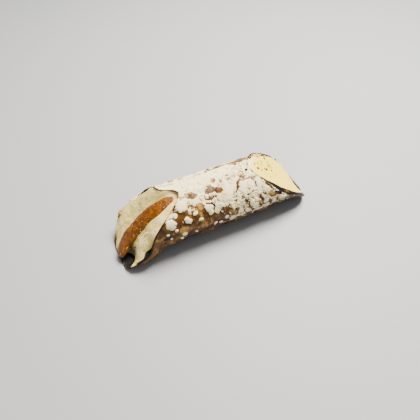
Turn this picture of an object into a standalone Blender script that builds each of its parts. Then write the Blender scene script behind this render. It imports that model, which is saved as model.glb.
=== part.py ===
"""Cannolo: a fried pastry tube lined with dark chocolate and filled with ricotta cream, with a
strip of candied orange peel laid on the cream of one end.

Four solids are built: shell, chocolate_lining, filling and orange_peel.
Constants and functions are in millimetres and degrees; meshes are written in metres.
The tube runs along X and rests on the plane z = 0.  The angle round the tube is 0 at the far side
(+Y), 90 on top, 180 at the near side (-Y) and 270 underneath.
"""

import bpy
import bmesh
import numpy as np
from mathutils import Vector

MM = 0.001

# Tube
TUBE_RADIUS = 20.0      # outer radius of the pastry
AXIS_HEIGHT = 19.6      # the belly is pressed 0.4 mm flat where it rests
WALL = 2.0              # pastry thickness
RIM_THINNING = 0.8      # how much thinner the pastry is right at the rims
RIM_THINNING_REACH = 7.0
CLEARANCE = 0.4         # kept between neighbouring solids
LINING = 0.7            # chocolate thickness
CENTRE_X = 3.24         # middle of the finished piece, moved to the origin
CENTRE_Y = -1.18

# Rims: distance along the tube of each rim at angles round it.  The dough is an oval wrapped
# round a cylinder, so both rims are short on top and run out to a tip underneath.
LEFT_RIM = [
    (7, -47.8), (15, -42.0), (21, -40.2), (28, -38.6), (36, -36.0), (45, -35.0), (58, -33.8),
    (72, -33.0), (80, -31.4), (86, -27.6), (91, -24.6), (97, -23.0), (104, -23.2), (112, -25.0),
    (122, -28.7), (133, -32.8), (145, -38.0), (155, -41.6), (168, -45.4), (180, -47.4),
    (197, -51.0), (206, -56.5), (214, -62.0), (226, -66.2), (245, -68.1), (265, -68.5),
    (280, -68.5), (292, -67.6), (302, -65.6), (315, -63.2), (330, -60.4), (342, -57.4),
    (352, -54.8),
]
RIGHT_RIM = [
    (30, 46.0), (60, 35.0), (80, 30.0), (94, 28.6), (108, 29.8), (120, 33.0), (134, 37.1),
    (150, 42.7), (165, 48.2), (180, 54.6), (197, 62.8), (214, 68.6), (245, 73.4), (275, 75.0),
    (300, 73.4), (335, 68.0), (360, 59.5),
]
# How far the chocolate stands out past the pastry at the near right rim: (angle, distance)
WEDGE = [
    (0, 0.0), (98, 0.0), (108, 0.5), (118, 1.0), (128, 1.5), (138, 2.2), (149, 3.0),
    (163, 3.8), (174, 4.2), (181, 3.5), (187, 1.9), (194, 0.4), (200, 0.0), (360, 0.0),
]

# The near lower corner of the left end stands away from the cream like a lip
LIP_HEIGHT = 5.6
LIP_ANGLE = 221.0
LIP_SPREAD = 58.0
LIP_START = -37.0
LIP_FULL = -53.0
LIP_FILLED = 0.85       # share of the lip's swelling beyond LIP_EMPTY that the cream follows
LIP_EMPTY = 0.6
LIP_OPEN = 0.30         # the same share above LIP_EDGE, where the lip stands clear of the cream
LIP_EDGE = 200.0
TIP_HEIGHT = 1.8
TIP_ANGLE = 228.0

# Lap of the dough: outer edge of the flap, as (distance along the tube, angle)
LAP_STEP = 0.8
LAP_EDGE = [
    (-40, 112.0), (-26, 101.0), (-18, 88.0), (-8, 67.0), (3, 57.0), (14, 63.0), (25, 70.0),
    (34, 76.0), (60, 90.0),
]
LAP_FADE = 190.0

# Larger blisters of the fried dough: along, angle, radius, height
BLISTERS = [
    (21.0, 150.0, 7.0, 1.1), (-5.5, 143.0, 4.6, 1.2), (-17.0, 158.0, 5.5, 0.9),
    (-14.0, 126.0, 5.5, 0.8), (5.0, 130.0, 6.0, 0.8), (36.0, 150.0, 5.5, 1.0),
    (-32.0, 150.0, 5.0, 0.9), (9.0, 165.0, 5.5, 1.0), (14.0, 100.0, 7.0, 0.7),
    (-3.0, 92.0, 5.5, 0.7), (-25.0, 172.0, 5.0, 0.9), (-8.0, 182.0, 5.5, 0.9),
    (30.0, 178.0, 5.5, 0.9), (48.0, 190.0, 5.0, 0.8), (-36.0, 195.0, 4.5, 0.7),
    (-20.0, 30.0, 6.5, 0.9), (6.0, 15.0, 6.0, 0.9), (30.0, 20.0, 6.5, 0.9),
    (-38.0, 340.0, 6.0, 0.8), (-12.0, 335.0, 6.5, 0.9), (18.0, 340.0, 6.0, 0.9),
    (46.0, 338.0, 6.0, 0.8), (-50.0, 310.0, 6.0, 0.7), (58.0, 318.0, 5.5, 0.7),
    (2.0, 312.0, 6.0, 0.8), (20.0, 208.0, 6.0, 0.9), (-30.0, 216.0, 5.0, 0.7),
]

# Cream
LEFT_BULGE = 4.0
RIGHT_BULGE = 2.2
CREAM_EDGE = 0.8        # the cream leaves the chocolate this far inside the rims
CREAM_TOP = 0.7         # how much less that is on top of the left end
SHOULDER = 0.86         # share of the way out from the middle where the domed face ends
TIP_BARE_LENGTH = 10.0  # bare chocolate left of the cream at the lower left tip
TIP_BARE_ANGLE = 237.5
TIP_BARE_EASE = 6.0     # degrees over which the bare patch begins on either side

# Peel strip lying on the left cream: points of its middle line
PEEL_PATH = [
    (-25.6, -3.0, 35.7), (-31.1, -2.7, 33.8), (-38.3, -3.4, 29.9), (-46.7, -2.6, 23.8),
    (-55.0, -2.7, 16.7), (-62.0, -4.3, 9.8), (-67.3, -9.2, 4.0),
]
# Half its width at even steps from its upper end to its lower
PEEL_WIDTH = [1.8, 2.9, 4.2, 4.9, 5.2, 5.5, 5.2, 5.0, 5.1, 4.7, 3.6]
PEEL_THICKNESS = 3.4
PEEL_OUTWARD = (-0.74, -0.12, 0.66)  # the way its broad side faces

# Divisions
AROUND = 60
OUTER_ROWS = 27
INNER_ROWS = (0.0, 0.04, 0.08, 0.13, 0.19, 0.28, 0.5, 0.78, 0.92, 1.0)
CAP_RINGS = 6
CREAM_RINGS = 2 * CAP_RINGS + len(INNER_ROWS) - 1
PEEL_AROUND = 12
PEEL_RINGS = 20


def closed_curve(points, angle):
    """Smooth curve that closes on itself after 360 degrees, through (angle, value) points."""
    ordered = sorted((a % 360.0, v) for a, v in points)
    a = np.array([p[0] for p in ordered])
    v = np.array([p[1] for p in ordered])
    return hermite(np.concatenate([a - 360, a, a + 360]), np.tile(v, 3), np.mod(angle, 360.0))


def hermite(xs, vs, at):
    """Cubic curve through the points (xs, vs), evaluated at `at`."""
    xs = np.asarray(xs, float)
    vs = np.asarray(vs, float)
    slope = np.gradient(vs, xs)
    at = np.clip(at, xs[0], xs[-1])
    i = np.clip(np.searchsorted(xs, at, side="right") - 1, 0, len(xs) - 2)
    h = xs[i + 1] - xs[i]
    t = (at - xs[i]) / h
    return (
        (2 * t**3 - 3 * t**2 + 1) * vs[i]
        + (t**3 - 2 * t**2 + t) * h * slope[i]
        + (3 * t**2 - 2 * t**3) * vs[i + 1]
        + (t**3 - t**2) * h * slope[i + 1]
    )


def smooth(t):
    """0 below t = 0, 1 above t = 1, with an easy turn between."""
    t = np.clip(t, 0.0, 1.0)
    return t * t * (3 - 2 * t)


def turn(a, b):
    """Signed difference of two angles, from -180 to 180 degrees."""
    return np.mod(a - b + 180.0, 360.0) - 180.0


def hump(angle, centre, spread):
    """1 at `centre`, easing to 0 at `spread` degrees on both sides."""
    return smooth(1 - np.abs(turn(angle, centre)) / spread)


def left_rim(angle):
    return closed_curve(LEFT_RIM, angle)


def right_rim(angle):
    return closed_curve(RIGHT_RIM, angle)


def wedge(angle):
    """How far the pastry's right rim lies behind the chocolate's."""
    return np.maximum(hermite([p[0] for p in WEDGE], [p[1] for p in WEDGE], np.mod(angle, 360.0)), 0)


def smooth_radius(x, angle):
    """Outer radius of the tube without blisters or lap: a cylinder with the lip and the tip."""
    lip = LIP_HEIGHT * smooth((LIP_START - x) / (LIP_START - LIP_FULL))
    tip = TIP_HEIGHT * smooth((x - 50) / 22)
    return (
        TUBE_RADIUS
        + lip * hump(angle, LIP_ANGLE, LIP_SPREAD)
        + tip * hump(angle, TIP_ANGLE, 50)
    )


def lap_drop(x, angle):
    """How far the dough lies below the flap: full just behind the flap's edge, none far from it."""
    edge = hermite([p[0] for p in LAP_EDGE], [p[1] for p in LAP_EDGE], x)
    behind = np.mod(edge - angle, 360.0)
    return LAP_STEP * smooth(behind / 4.0) * (1 - smooth(behind / LAP_FADE)) * (behind < LAP_FADE)


def blister_height(x, angle):
    """Height of the tallest blister at each point: every one is a low dome."""
    height = np.zeros(np.broadcast(x, angle).shape)
    for along, around, radius, top in BLISTERS:
        side = np.radians(turn(angle, around)) * TUBE_RADIUS
        d = ((x - along) ** 2 + side**2) / radius**2
        height = np.maximum(height, top * np.sqrt(np.clip(1 - d, 0, 1)))
    return height


def wall_thickness(x, angle):
    """Pastry thickness, less near both rims."""
    to_rim = np.minimum(x - left_rim(angle), right_rim(angle) - x)
    return WALL - RIM_THINNING * (1 - smooth(to_rim / RIM_THINNING_REACH))


def tube_point(x, angle, radius, floor):
    """Points of a tube of the given radius, kept above the height `floor`."""
    t = np.radians(angle)
    z = np.maximum(AXIS_HEIGHT + radius * np.sin(t), floor)
    return np.stack([x, radius * np.cos(t), z], -1)


def wrapped_grid(name, columns, rows, shape):
    """Grid of `columns` by `rows` faces closed both ways into a ring.

    shape(u, v) gives the points for the column fraction u and the row number v.
    """
    bm = bmesh.new()
    bmesh.ops.create_grid(bm, x_segments=columns, y_segments=rows, size=1.0)
    co = np.array([v.co for v in bm.verts])
    u = np.mod(np.round((co[:, 0] + 1) / 2 * columns), columns) / columns
    v = np.mod(np.round((co[:, 1] + 1) / 2 * rows), rows)
    points = shape(u, v)
    for vert, point in zip(bm.verts, points):
        vert.co = place(point)
    bmesh.ops.remove_doubles(bm, verts=bm.verts, dist=1e-6)
    return finished(name, bm)


def wrapped_ball(name, columns, rings, shape):
    """Ball of `columns` by `rings` re-shaped; shape(u, v) has v from 0 to 1, pole to pole."""
    bm = bmesh.new()
    bmesh.ops.create_uvsphere(bm, u_segments=columns, v_segments=rings, radius=1.0)
    co = np.array([v.co for v in bm.verts])
    v = np.arccos(np.clip(co[:, 2], -1, 1)) / np.pi
    turns = np.arctan2(co[:, 1], co[:, 0]) / (2 * np.pi)
    u = np.mod(np.round(np.mod(turns, 1.0) * columns), columns) / columns
    v = np.round(v * rings) / rings
    points = shape(u, v)
    for vert, point in zip(bm.verts, points):
        vert.co = place(point)
    return finished(name, bm)


def place(point):
    """Model millimetres to metres about the middle of the piece."""
    return Vector(((point[0] - CENTRE_X) * MM, (point[1] - CENTRE_Y) * MM, point[2] * MM))


def finished(name, bm):
    """Object made from a closed mesh, with faces turned outward.

    Each quad is split on its shorter diagonal, so skins that follow each other stay apart.
    """
    bmesh.ops.triangulate(bm, faces=bm.faces, quad_method="SHORT_EDGE")
    bmesh.ops.recalc_face_normals(bm, faces=bm.faces)
    if bm.calc_volume(signed=True) < 0:
        bmesh.ops.reverse_faces(bm, faces=bm.faces)
    mesh = bpy.data.meshes.new(name)
    bm.to_mesh(mesh)
    bm.free()
    return bpy.data.objects.new(name, mesh)


def shell_shape(u, v):
    """Outer skin from the left rim to the right rim, then the inner skin back."""
    angle = u * 360.0
    first, last = left_rim(angle), right_rim(angle) - wedge(angle)
    w = np.clip(v / (OUTER_ROWS - 1), 0, 1)
    x_out = first + (last - first) * w
    near_rim = smooth(np.minimum(x_out - first, last - x_out) / 2.0)
    r_out = smooth_radius(x_out, angle) - lap_drop(x_out, angle)
    r_out = r_out + blister_height(x_out, angle) * near_rim * (1 - hump(angle, 270, 34))
    outer = tube_point(x_out, angle, r_out, 0.0)
    back = np.array(INNER_ROWS)[::-1]
    x_in = first + (last - first) * back[np.clip(v - OUTER_ROWS, 0, len(back) - 1).astype(int)]
    wall = wall_thickness(x_in, angle)
    inner = tube_point(x_in, angle, smooth_radius(x_in, angle) - wall, wall - 0.4)
    return np.where((v < OUTER_ROWS)[:, None], outer, inner)


def lining_shape(u, v):
    """Thin coat inside the pastry, ending just short of its rims but for the near right one."""
    angle = u * 360.0
    first, last = left_rim(angle), right_rim(angle)
    count = len(INNER_ROWS)
    rows = np.array(INNER_ROWS + INNER_ROWS[::-1])
    x = first + (last - first) * rows[v.astype(int)]
    x = np.clip(x, first + 0.3, last - 0.5)
    inward = wall_thickness(x, angle) + CLEARANCE + LINING * (v >= count)
    return tube_point(x, angle, smooth_radius(x, angle) - inward, inward - 0.4)


def face_distance(edge, depth, angle):
    """Surface spanning a closed edge: the edge's waves fade towards the middle.

    `edge` is a function of the angle; depth is 0 in the middle and 1 at the edge.
    """
    count = 128
    waves = np.fft.rfft(edge(np.arange(count) * 360.0 / count)) / count
    total = np.full(np.broadcast(depth, angle).shape, waves[0].real)
    at_edge = total
    for n in range(1, 9):
        wave = 2 * (waves[n] * np.exp(1j * n * np.radians(angle))).real
        total = total + wave * depth**n
        at_edge = at_edge + wave
    return total + (edge(angle) - at_edge) * depth**14


def left_cream_edge(angle):
    bare = smooth(2.8 - np.abs(turn(angle, TIP_BARE_ANGLE)) / TIP_BARE_EASE)
    inset = CREAM_EDGE - CREAM_TOP * hump(angle, 85, 60)
    return left_rim(angle) + inset + TIP_BARE_LENGTH * bare


def right_cream_edge(angle):
    return right_rim(angle) - CREAM_EDGE


def cream_radius(x, angle):
    """Radius of the cream: inside the chocolate, and clear of the upper part of the lip."""
    inward = 2 * CLEARANCE + LINING + (WALL + wall_thickness(x, angle)) / 2
    share = LIP_OPEN + (LIP_FILLED - LIP_OPEN) * smooth((angle - LIP_EDGE) / 6)
    lip = np.where(x < 0, smooth_radius(x, angle) - TUBE_RADIUS - LIP_EMPTY, 0)
    return TUBE_RADIUS - inward + share * np.maximum(lip, 0)


def left_cream(depth, angle):
    """Left end of the cream: a domed face out to the shoulder, then down behind the rim."""
    on_face = np.clip(depth / SHOULDER, 0, 1)
    down = np.clip((depth - SHOULDER) / (1 - SHOULDER), 0, 1)
    face = face_distance(left_cream_edge, on_face, angle) - LEFT_BULGE * (1 - on_face**3) ** 0.6
    radius = cream_radius(left_cream_edge(angle), angle)
    return face + 0.8 * down, radius * on_face


def right_cream(depth, angle):
    """Right end of the cream, a little domed."""
    edge = right_cream_edge(angle)
    face = face_distance(right_cream_edge, depth, angle) + RIGHT_BULGE * (1 - depth**3) ** 0.6
    return face, cream_radius(edge, angle) * depth


def cream_shape(u, v):
    """Left end from its middle to the edge, the side, then the right end back to its middle."""
    angle = u * 360.0
    cap = CAP_RINGS / CREAM_RINGS
    x_left, r_left = left_cream(np.clip(v / cap, 0, 1) ** 0.8, angle)
    x_right, r_right = right_cream(np.clip((1 - v) / cap, 0, 1) ** 0.8, angle)
    rows = np.array(INNER_ROWS)
    place_on_side = np.clip((v - cap) / (1 - 2 * cap), 0, 1) * (len(rows) - 1)
    w = np.interp(place_on_side, np.arange(len(rows)), rows)
    x_side = x_left + (x_right - x_left) * w
    on_left, on_right = v < cap - 1e-6, v > 1 - cap + 1e-6
    x = np.where(on_left, x_left, np.where(on_right, x_right, x_side))
    radius = np.where(on_left, r_left, np.where(on_right, r_right, cream_radius(x, angle)))
    return tube_point(x, angle, radius, WALL + 2 * CLEARANCE + LINING - 0.4)


def peel_shape(extra):
    """Function that shapes the peel, grown by `extra` on every side."""

    def shape(u, v):
        path = np.array(PEEL_PATH)
        knots = np.arange(len(path), dtype=float)
        t = (v - 0.55 * np.sin(2 * np.pi * v) / (2 * np.pi)) * (len(path) - 1)
        middle = path_point(knots, path, t)
        along = unit(path_point(knots, path, t + 0.1) - path_point(knots, path, t - 0.1))
        outward = np.array(PEEL_OUTWARD)
        outward = unit(outward - (along @ outward)[:, None] * along)
        sideways = np.cross(along, outward)
        end = np.sqrt(np.clip(1 - np.abs(2 * v - 1) ** 9, 0, 1))
        half = hermite(np.linspace(0, 1, len(PEEL_WIDTH)), PEEL_WIDTH, t / (len(path) - 1))
        width = (half + extra) * end
        thick = (PEEL_THICKNESS / 2 * (0.7 + 0.3 * smooth(v / 0.3)) + extra) * end
        around = 2 * np.pi * u
        side = np.sign(np.cos(around)) * np.abs(np.cos(around)) ** 0.7 * width
        rise = np.sin(around) * thick
        ends = along * ((2 * v - 1) ** 9 * extra)[:, None]
        return middle + sideways * side[:, None] + outward * rise[:, None] + ends

    return shape


def path_point(knots, path, t):
    """Points of a smooth curve through the rows of `path`."""
    return np.stack([hermite(knots, path[:, i], t) for i in range(3)], -1)


def unit(v):
    return v / np.linalg.norm(v, axis=-1, keepdims=True)


def material(name, colour, roughness):
    m = bpy.data.materials.new(name)
    m.use_nodes = True
    shader = m.node_tree.nodes["Principled BSDF"]
    shader.inputs["Base Color"].default_value = (*colour, 1.0)
    shader.inputs["Roughness"].default_value = roughness
    shader.inputs["Metallic"].default_value = 0.0
    return m


def main():
    for old in list(bpy.data.objects):
        bpy.data.objects.remove(old, do_unlink=True)
    parts = bpy.data.collections.new("cannolo")
    cutters = bpy.data.collections.new("cutters")
    bpy.context.scene.collection.children.link(parts)
    bpy.context.scene.collection.children.link(cutters)

    shell_rows = OUTER_ROWS + len(INNER_ROWS)
    shell = wrapped_grid("shell", AROUND, shell_rows, shell_shape)
    lining = wrapped_grid("chocolate_lining", AROUND, 2 * len(INNER_ROWS), lining_shape)
    cream = wrapped_ball("filling", AROUND, CREAM_RINGS, cream_shape)
    peel = wrapped_ball("orange_peel", PEEL_AROUND, PEEL_RINGS, peel_shape(0.0))
    for part in (shell, lining, cream, peel):
        parts.objects.link(part)

    bed = wrapped_ball("peel_bed", PEEL_AROUND, PEEL_RINGS, peel_shape(CLEARANCE))
    cutters.objects.link(bed)
    bed.hide_render = True
    bed.display_type = "WIRE"
    cut = cream.modifiers.new("peel_bed", "BOOLEAN")
    cut.operation = "DIFFERENCE"
    cut.solver = "EXACT"
    cut.object = bed

    shell.data.materials.append(material("fried_shell", (0.36, 0.19, 0.075), 0.6))
    lining.data.materials.append(material("dark_chocolate", (0.012, 0.006, 0.004), 0.4))
    cream.data.materials.append(material("ricotta_cream", (0.72, 0.62, 0.40), 0.5))
    peel.data.materials.append(material("candied_peel", (0.42, 0.13, 0.018), 0.3))


main()
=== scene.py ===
"""Cannolo: a sugar-dusted fried pastry tube lined with dark chocolate, filled with ricotta cream
and topped at one end with a strip of candied orange peel.

The pieces are worked out in millimetres and degrees and written in metres.  The tube runs along X
and rests on z = 0.  The angle round the tube is 0 at the far side (+Y), 90 on top, 180 at the near
side (-Y) and 270 underneath.
"""

import math
from types import SimpleNamespace

import bpy
import numpy as np
from bpy.props import FloatProperty, FloatVectorProperty, IntProperty, PointerProperty
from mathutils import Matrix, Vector


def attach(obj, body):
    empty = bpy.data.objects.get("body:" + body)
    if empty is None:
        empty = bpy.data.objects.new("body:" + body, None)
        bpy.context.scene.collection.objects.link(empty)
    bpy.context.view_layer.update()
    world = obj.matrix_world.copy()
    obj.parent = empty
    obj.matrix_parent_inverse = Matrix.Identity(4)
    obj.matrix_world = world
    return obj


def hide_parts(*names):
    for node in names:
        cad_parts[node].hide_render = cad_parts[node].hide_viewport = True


bl_info = {
    "name": "Cannolo",
    "version": (1, 0, 0),
    "blender": (4, 5, 0),
    "location": "3D View > Sidebar > Cannolo",
    "description": "Filled pastry tube with powdered sugar and candied peel",
    "category": "Object",
}

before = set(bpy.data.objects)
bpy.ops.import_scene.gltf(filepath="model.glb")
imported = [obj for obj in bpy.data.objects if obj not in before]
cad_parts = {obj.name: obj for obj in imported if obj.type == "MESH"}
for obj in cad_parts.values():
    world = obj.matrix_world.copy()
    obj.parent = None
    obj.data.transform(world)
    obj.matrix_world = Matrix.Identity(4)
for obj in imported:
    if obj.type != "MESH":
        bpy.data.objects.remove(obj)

# Middle of the piece's length and width
CENTRE_X = 3.24
CENTRE_Y = -1.18
# Radius of the plain cylinder on which marks and noise are laid out
RADIUS = 20.0
# Distance from a rim over which the dough thins and the lap runs out
RIM_FADE = 7.0
# Depth at which the left face of the cream turns down behind the rim
SHOULDER = 0.88
# Ways in which the two faces of the cream look
LEFT_OUTWARD = (-0.72, 0.0, 0.69)
RIGHT_OUTWARD = (0.65, 0.0, 0.757)
# Chocolate stain on the left cream: its middle and its half sizes
STAIN_AT = (-58.6, -10.0, 6.6)
STAIN_SIZE = (5.6, 6.6, 6.0)
# Noise of the two ragged rims of the dough
LEFT_RAGGED = 61
RIGHT_RAGGED = 62

# Rims: (angle, distance along the tube)
LEFT_RIM = [
    (7, -47.8), (15, -42.0), (21, -40.2), (28, -38.6), (36, -36.0), (45, -35.0), (58, -33.8),
    (72, -33.0), (80, -31.4), (86, -27.6), (91, -24.6), (97, -23.0), (104, -23.2), (112, -25.0),
    (122, -28.7), (133, -32.8), (145, -38.0), (155, -41.6), (168, -45.4), (180, -47.4),
    (197, -51.0), (206, -56.5), (214, -62.0), (226, -66.2), (245, -68.0), (265, -68.2),
    (280, -68.2), (292, -67.4), (302, -65.6), (315, -63.2), (330, -60.4), (342, -57.4),
    (352, -54.8),
]
RIGHT_RIM = [
    (30, 46.0), (60, 35.0), (80, 30.0), (94, 28.6), (108, 29.8), (120, 33.0), (134, 37.1),
    (150, 42.7), (165, 48.2), (180, 54.6), (197, 62.8), (214, 68.6), (245, 73.4), (275, 74.8),
    (300, 73.3), (335, 68.0), (360, 59.5),
]
# How far the chocolate stands out past the dough at the near right rim: (angle, distance)
WEDGE = [
    (0, 0.0), (98, 0.0), (108, 0.5), (118, 1.0), (128, 1.5), (138, 2.2), (149, 3.0),
    (163, 3.8), (174, 4.2), (181, 3.5), (187, 1.9), (194, 0.4), (200, 0.0), (360, 0.0),
]
# Outer edge of the lapped dough: (distance along, angle)
LAP_EDGE = [
    (-40, 112.0), (-26, 101.0), (-18, 88.0), (-8, 67.0), (3, 57.0), (14, 63.0), (25, 70.0),
    (34, 76.0), (60, 90.0),
]
# Larger blisters of the fried dough: along, angle, radius, height
BLISTERS = [
    (20.5, 131.0, 6.6, 0.9), (-7.0, 147.0, 3.4, 1.0), (-33.5, 152.0, 3.6, 0.9),
    (-23.0, 153.0, 2.6, 0.7), (-24.0, 128.0, 4.0, 0.7), (-14.0, 126.0, 4.4, 0.7),
    (5.0, 130.0, 6.0, 0.7), (36.0, 150.0, 5.0, 0.8), (9.0, 165.0, 5.0, 0.8),
    (14.0, 100.0, 6.0, 0.6), (-3.0, 92.0, 5.5, 0.6), (-25.0, 172.0, 4.6, 0.8),
    (-10.0, 176.0, 5.0, 0.9), (25.0, 172.0, 5.0, 0.8), (46.0, 186.0, 5.0, 0.8),
    (-38.0, 192.0, 4.5, 0.7), (-20.0, 30.0, 6.5, 0.9), (6.0, 15.0, 6.0, 0.9),
    (30.0, 20.0, 6.5, 0.9), (-38.0, 340.0, 6.0, 0.8), (-12.0, 335.0, 6.5, 0.9),
    (18.0, 340.0, 6.0, 0.9), (46.0, 338.0, 6.0, 0.8), (-50.0, 310.0, 6.0, 0.7),
    (58.0, 318.0, 5.5, 0.7), (2.0, 312.0, 6.0, 0.8), (20.0, 208.0, 6.0, 0.9),
    (-28.0, 212.0, 5.0, 0.7), (-9.0, 214.0, 7.0, 1.3), (11.0, 216.0, 7.0, 1.4),
    (33.0, 214.0, 6.0, 1.2), (-41.0, 216.0, 5.0, 0.9),
]
# Where the powder gives out on the near side: (distance along, angle)
POWDER_END = [
    (-52, 132.0), (-32, 139.0), (-27, 143.0), (-20, 143.0), (-12, 139.0), (-7, 150.0),
    (-3, 158.0), (4, 163.0), (12, 172.0), (25, 177.0), (40, 168.0), (56, 168.0), (76, 185.0),
]
# Strokes rubbed bare, as straight runs from one point to another: along, angle, along, angle,
# half width, strength, how much darker the dough is there
# The runs from (30.8, 116) to (42.8, 167), with those at (33.4, 121), (43.3, 167) and (43.8, 167),
# follow the right rim's crevice: their barer, darker dough is painted shade.
BARE = [
    (-0.5, 98.0, 1.6, 98.5, 0.8, 1.0, -0.1), (-18.5, 111.0, -15.0, 115.0, 1.8, 1.7, 0.12),
    (-17.0, 110.0, -16.0, 110.0, 1.0, 0.7, 0.1), (-5.5, 115.0, -2.0, 115.0, 1.8, 1.9, 0.15),
    (-4.0, 110.0, -2.5, 110.0, 0.9, 0.6, 0.0), (0.9, 120.5, 2.7, 121.5, 1.6, 2.2, 0.75),
    (-12.0, 124.0, -10.5, 120.5, 0.6, 0.8, 0.1), (-10.5, 120.5, -8.6, 121.0, 0.5, 0.7, 0.1),
    (-8.5, 122.0, -8.4, 126.0, 0.5, 0.7, 0.1), (-12.0, 124.0, -10.5, 127.5, 0.6, 0.7, 0.1),
    (-18.5, 131.0, -18.0, 135.0, 1.0, 1.1, -0.05), (-20.0, 102.0, -16.5, 100.5, 0.4, 0.45, 0.0),
    (-16.0, 103.0, -12.5, 106.0, 0.4, 0.45, 0.0), (-14.0, 99.0, -12.0, 101.0, 0.35, 0.35, 0.0),
    (-8.0, 72.0, -1.0, 69.5, 1.1, 1.0, 0.1), (0.0, 69.0, 9.0, 66.0, 0.8, 0.8, 0.1),
    (-10.0, 77.0, -6.0, 75.0, 0.6, 0.35, 0.0), (-19.0, 70.0, -15.0, 68.0, 0.8, 0.7, -0.1),
    (11.5, 108.0, 13.0, 104.0, 0.5, 0.5, 0.0), (13.0, 104.0, 15.5, 106.0, 0.5, 0.5, 0.0),
    (15.5, 106.0, 16.0, 101.0, 0.4, 0.4, 0.0), (12.0, 112.0, 15.0, 109.0, 0.4, 0.35, 0.0),
    (15.5, 120.5, 17.5, 116.5, 0.9, 1.0, 0.1), (17.5, 116.5, 20.5, 115.0, 0.9, 1.0, 0.1),
    (20.5, 115.0, 24.0, 118.0, 0.6, 0.7, 0.0), (15.0, 121.0, 14.8, 126.0, 0.9, 0.85, 0.1),
    (14.4, 127.0, 13.0, 134.0, 0.45, 0.7, 0.1), (13.0, 134.0, 12.0, 141.0, 0.35, 0.5, 0.1),
    (26.7, 129.0, 27.2, 135.5, 0.45, 1.1, 0.8), (20.0, 147.0, 23.5, 144.0, 0.4, 0.8, 0.25),
    (23.5, 144.0, 27.0, 143.0, 0.5, 0.85, 0.25), (27.2, 143.0, 27.8, 140.0, 0.4, 0.7, 0.2),
    (19.5, 146.5, 17.5, 150.0, 0.35, 0.5, 0.1), (17.5, 150.0, 17.3, 155.0, 0.35, 0.5, 0.1),
    (17.3, 155.0, 19.0, 159.0, 0.35, 0.45, 0.1), (30.8, 116.0, 32.8, 125.0, 0.4, 0.5, 0.3),
    (32.8, 125.0, 35.0, 138.0, 0.35, 0.8, 0.5), (35.0, 138.0, 37.5, 148.0, 0.4, 1.2, 0.8),
    (37.5, 148.0, 39.8, 157.6, 0.4, 1.5, 1.0), (39.8, 157.6, 42.8, 167.0, 0.45, 1.5, 1.1),
    (43.3, 167.0, 43.9, 170.0, 0.9, 1.3, 1.0), (33.4, 121.0, 36.6, 133.0, 0.3, 0.5, 0.5),
    (-8.0, 128.5, -5.0, 130.5, 0.35, 0.7, 0.5), (-5.0, 130.5, -1.5, 130.0, 0.4, 0.7, 0.5),
    (-1.5, 130.0, 0.0, 127.5, 0.35, 0.6, 0.4), (-8.2, 137.0, -6.0, 139.0, 0.45, 1.1, 0.9),
    (-6.0, 139.0, -4.6, 143.0, 0.5, 1.1, 0.8), (-4.6, 143.0, -4.0, 147.0, 0.5, 1.0, 0.4),
    (-13.5, 139.0, -12.5, 152.0, 2.4, 1.1, -0.12), (-28.0, 143.0, -24.5, 144.5, 1.9, 0.95, 0.0),
    (25.1, 100.5, 25.1, 100.7, 0.8, 1.1, 0.9), (28.0, 89.0, 28.3, 90.0, 0.9, 0.6, 0.4),
    (23.0, 61.0, 29.5, 58.0, 2.8, 1.3, 0.0), (26.0, 70.0, 29.5, 69.0, 1.4, 1.1, 0.05),
    (-30.0, 128.0, -28.5, 124.0, 0.5, 0.6, 0.3), (-29.5, 132.0, -27.0, 135.0, 0.5, 0.5, 0.2),
    (-30.5, 64.0, -28.5, 70.0, 1.0, 0.7, 0.0), (3.0, 162.0, 4.0, 167.0, 1.2, 0.9, -0.1),
    (28.8, 158.0, 29.5, 166.0, 1.1, 1.0, 0.3), (33.0, 157.0, 33.6, 159.0, 0.7, 0.7, 0.2),
    (36.5, 161.0, 39.0, 165.0, 1.9, 1.0, -0.05), (43.8, 167.0, 44.6, 169.0, 0.4, 1.0, 0.9),
    (5.0, 157.0, 8.0, 163.0, 0.4, 0.6, 0.3), (10.0, 166.0, 12.0, 172.0, 0.5, 0.7, 0.4),
    (16.0, 169.0, 17.0, 178.0, 0.4, 0.5, 0.2), (31.0, 74.0, 36.5, 60.0, 0.5, 1.0, 0.9),
    (27.0, 172.0, 30.0, 181.0, 0.6, 0.8, 0.4), (-1.0, 161.0, 1.0, 170.0, 0.5, 0.7, 0.1),
    (-24.0, 162.0, -19.0, 165.0, 1.6, 0.9, 0.35), (-17.0, 170.0, -10.0, 173.0, 1.9, 1.0, 0.2),
    (-9.0, 172.0, -4.0, 176.0, 1.7, 0.9, 0.2), (-38.0, 179.0, -31.0, 181.0, 1.9, 0.9, 0.5),
    (-3.0, 184.0, 3.0, 187.0, 1.8, 0.6, 0.45), (-14.0, 144.0, -12.0, 146.0, 1.2, 0.6, -0.2),
]
# Heaps of powder: along, angle, radius, height
HEAPS = [
    (-33.8, 151.0, 3.0, 0.55), (-33.0, 158.0, 1.7, 0.4), (-23.2, 153.0, 1.9, 0.5),
    (-21.6, 157.0, 1.5, 0.45), (-14.2, 161.0, 1.4, 0.45), (-7.4, 146.0, 2.4, 0.5),
    (-7.0, 154.0, 1.9, 0.5), (-26.0, 181.5, 1.7, 0.5), (-24.5, 127.5, 3.0, 0.25),
    (-17.0, 146.0, 1.5, 0.4), (-29.8, 139.0, 1.6, 0.35), (-28.0, 192.0, 1.3, 0.4),
    (-37.0, 170.0, 1.0, 0.3), (-31.0, 167.0, 1.1, 0.3), (-4.5, 184.0, 1.4, 0.3),
    (3.6, 178.0, 1.6, 0.25), (13.6, 176.0, 1.9, 0.3), (19.4, 181.0, 1.8, 0.3),
    (24.6, 174.0, 2.2, 0.35), (22.3, 165.6, 2.0, 0.25), (33.0, 174.0, 1.9, 0.3),
    (-0.6, 187.0, 1.2, 0.25), (-10.2, 123.6, 0.9, 0.35), (-18.0, 188.0, 1.0, 0.3),
    (-35.0, 183.0, 0.8, 0.3),
]
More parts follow.
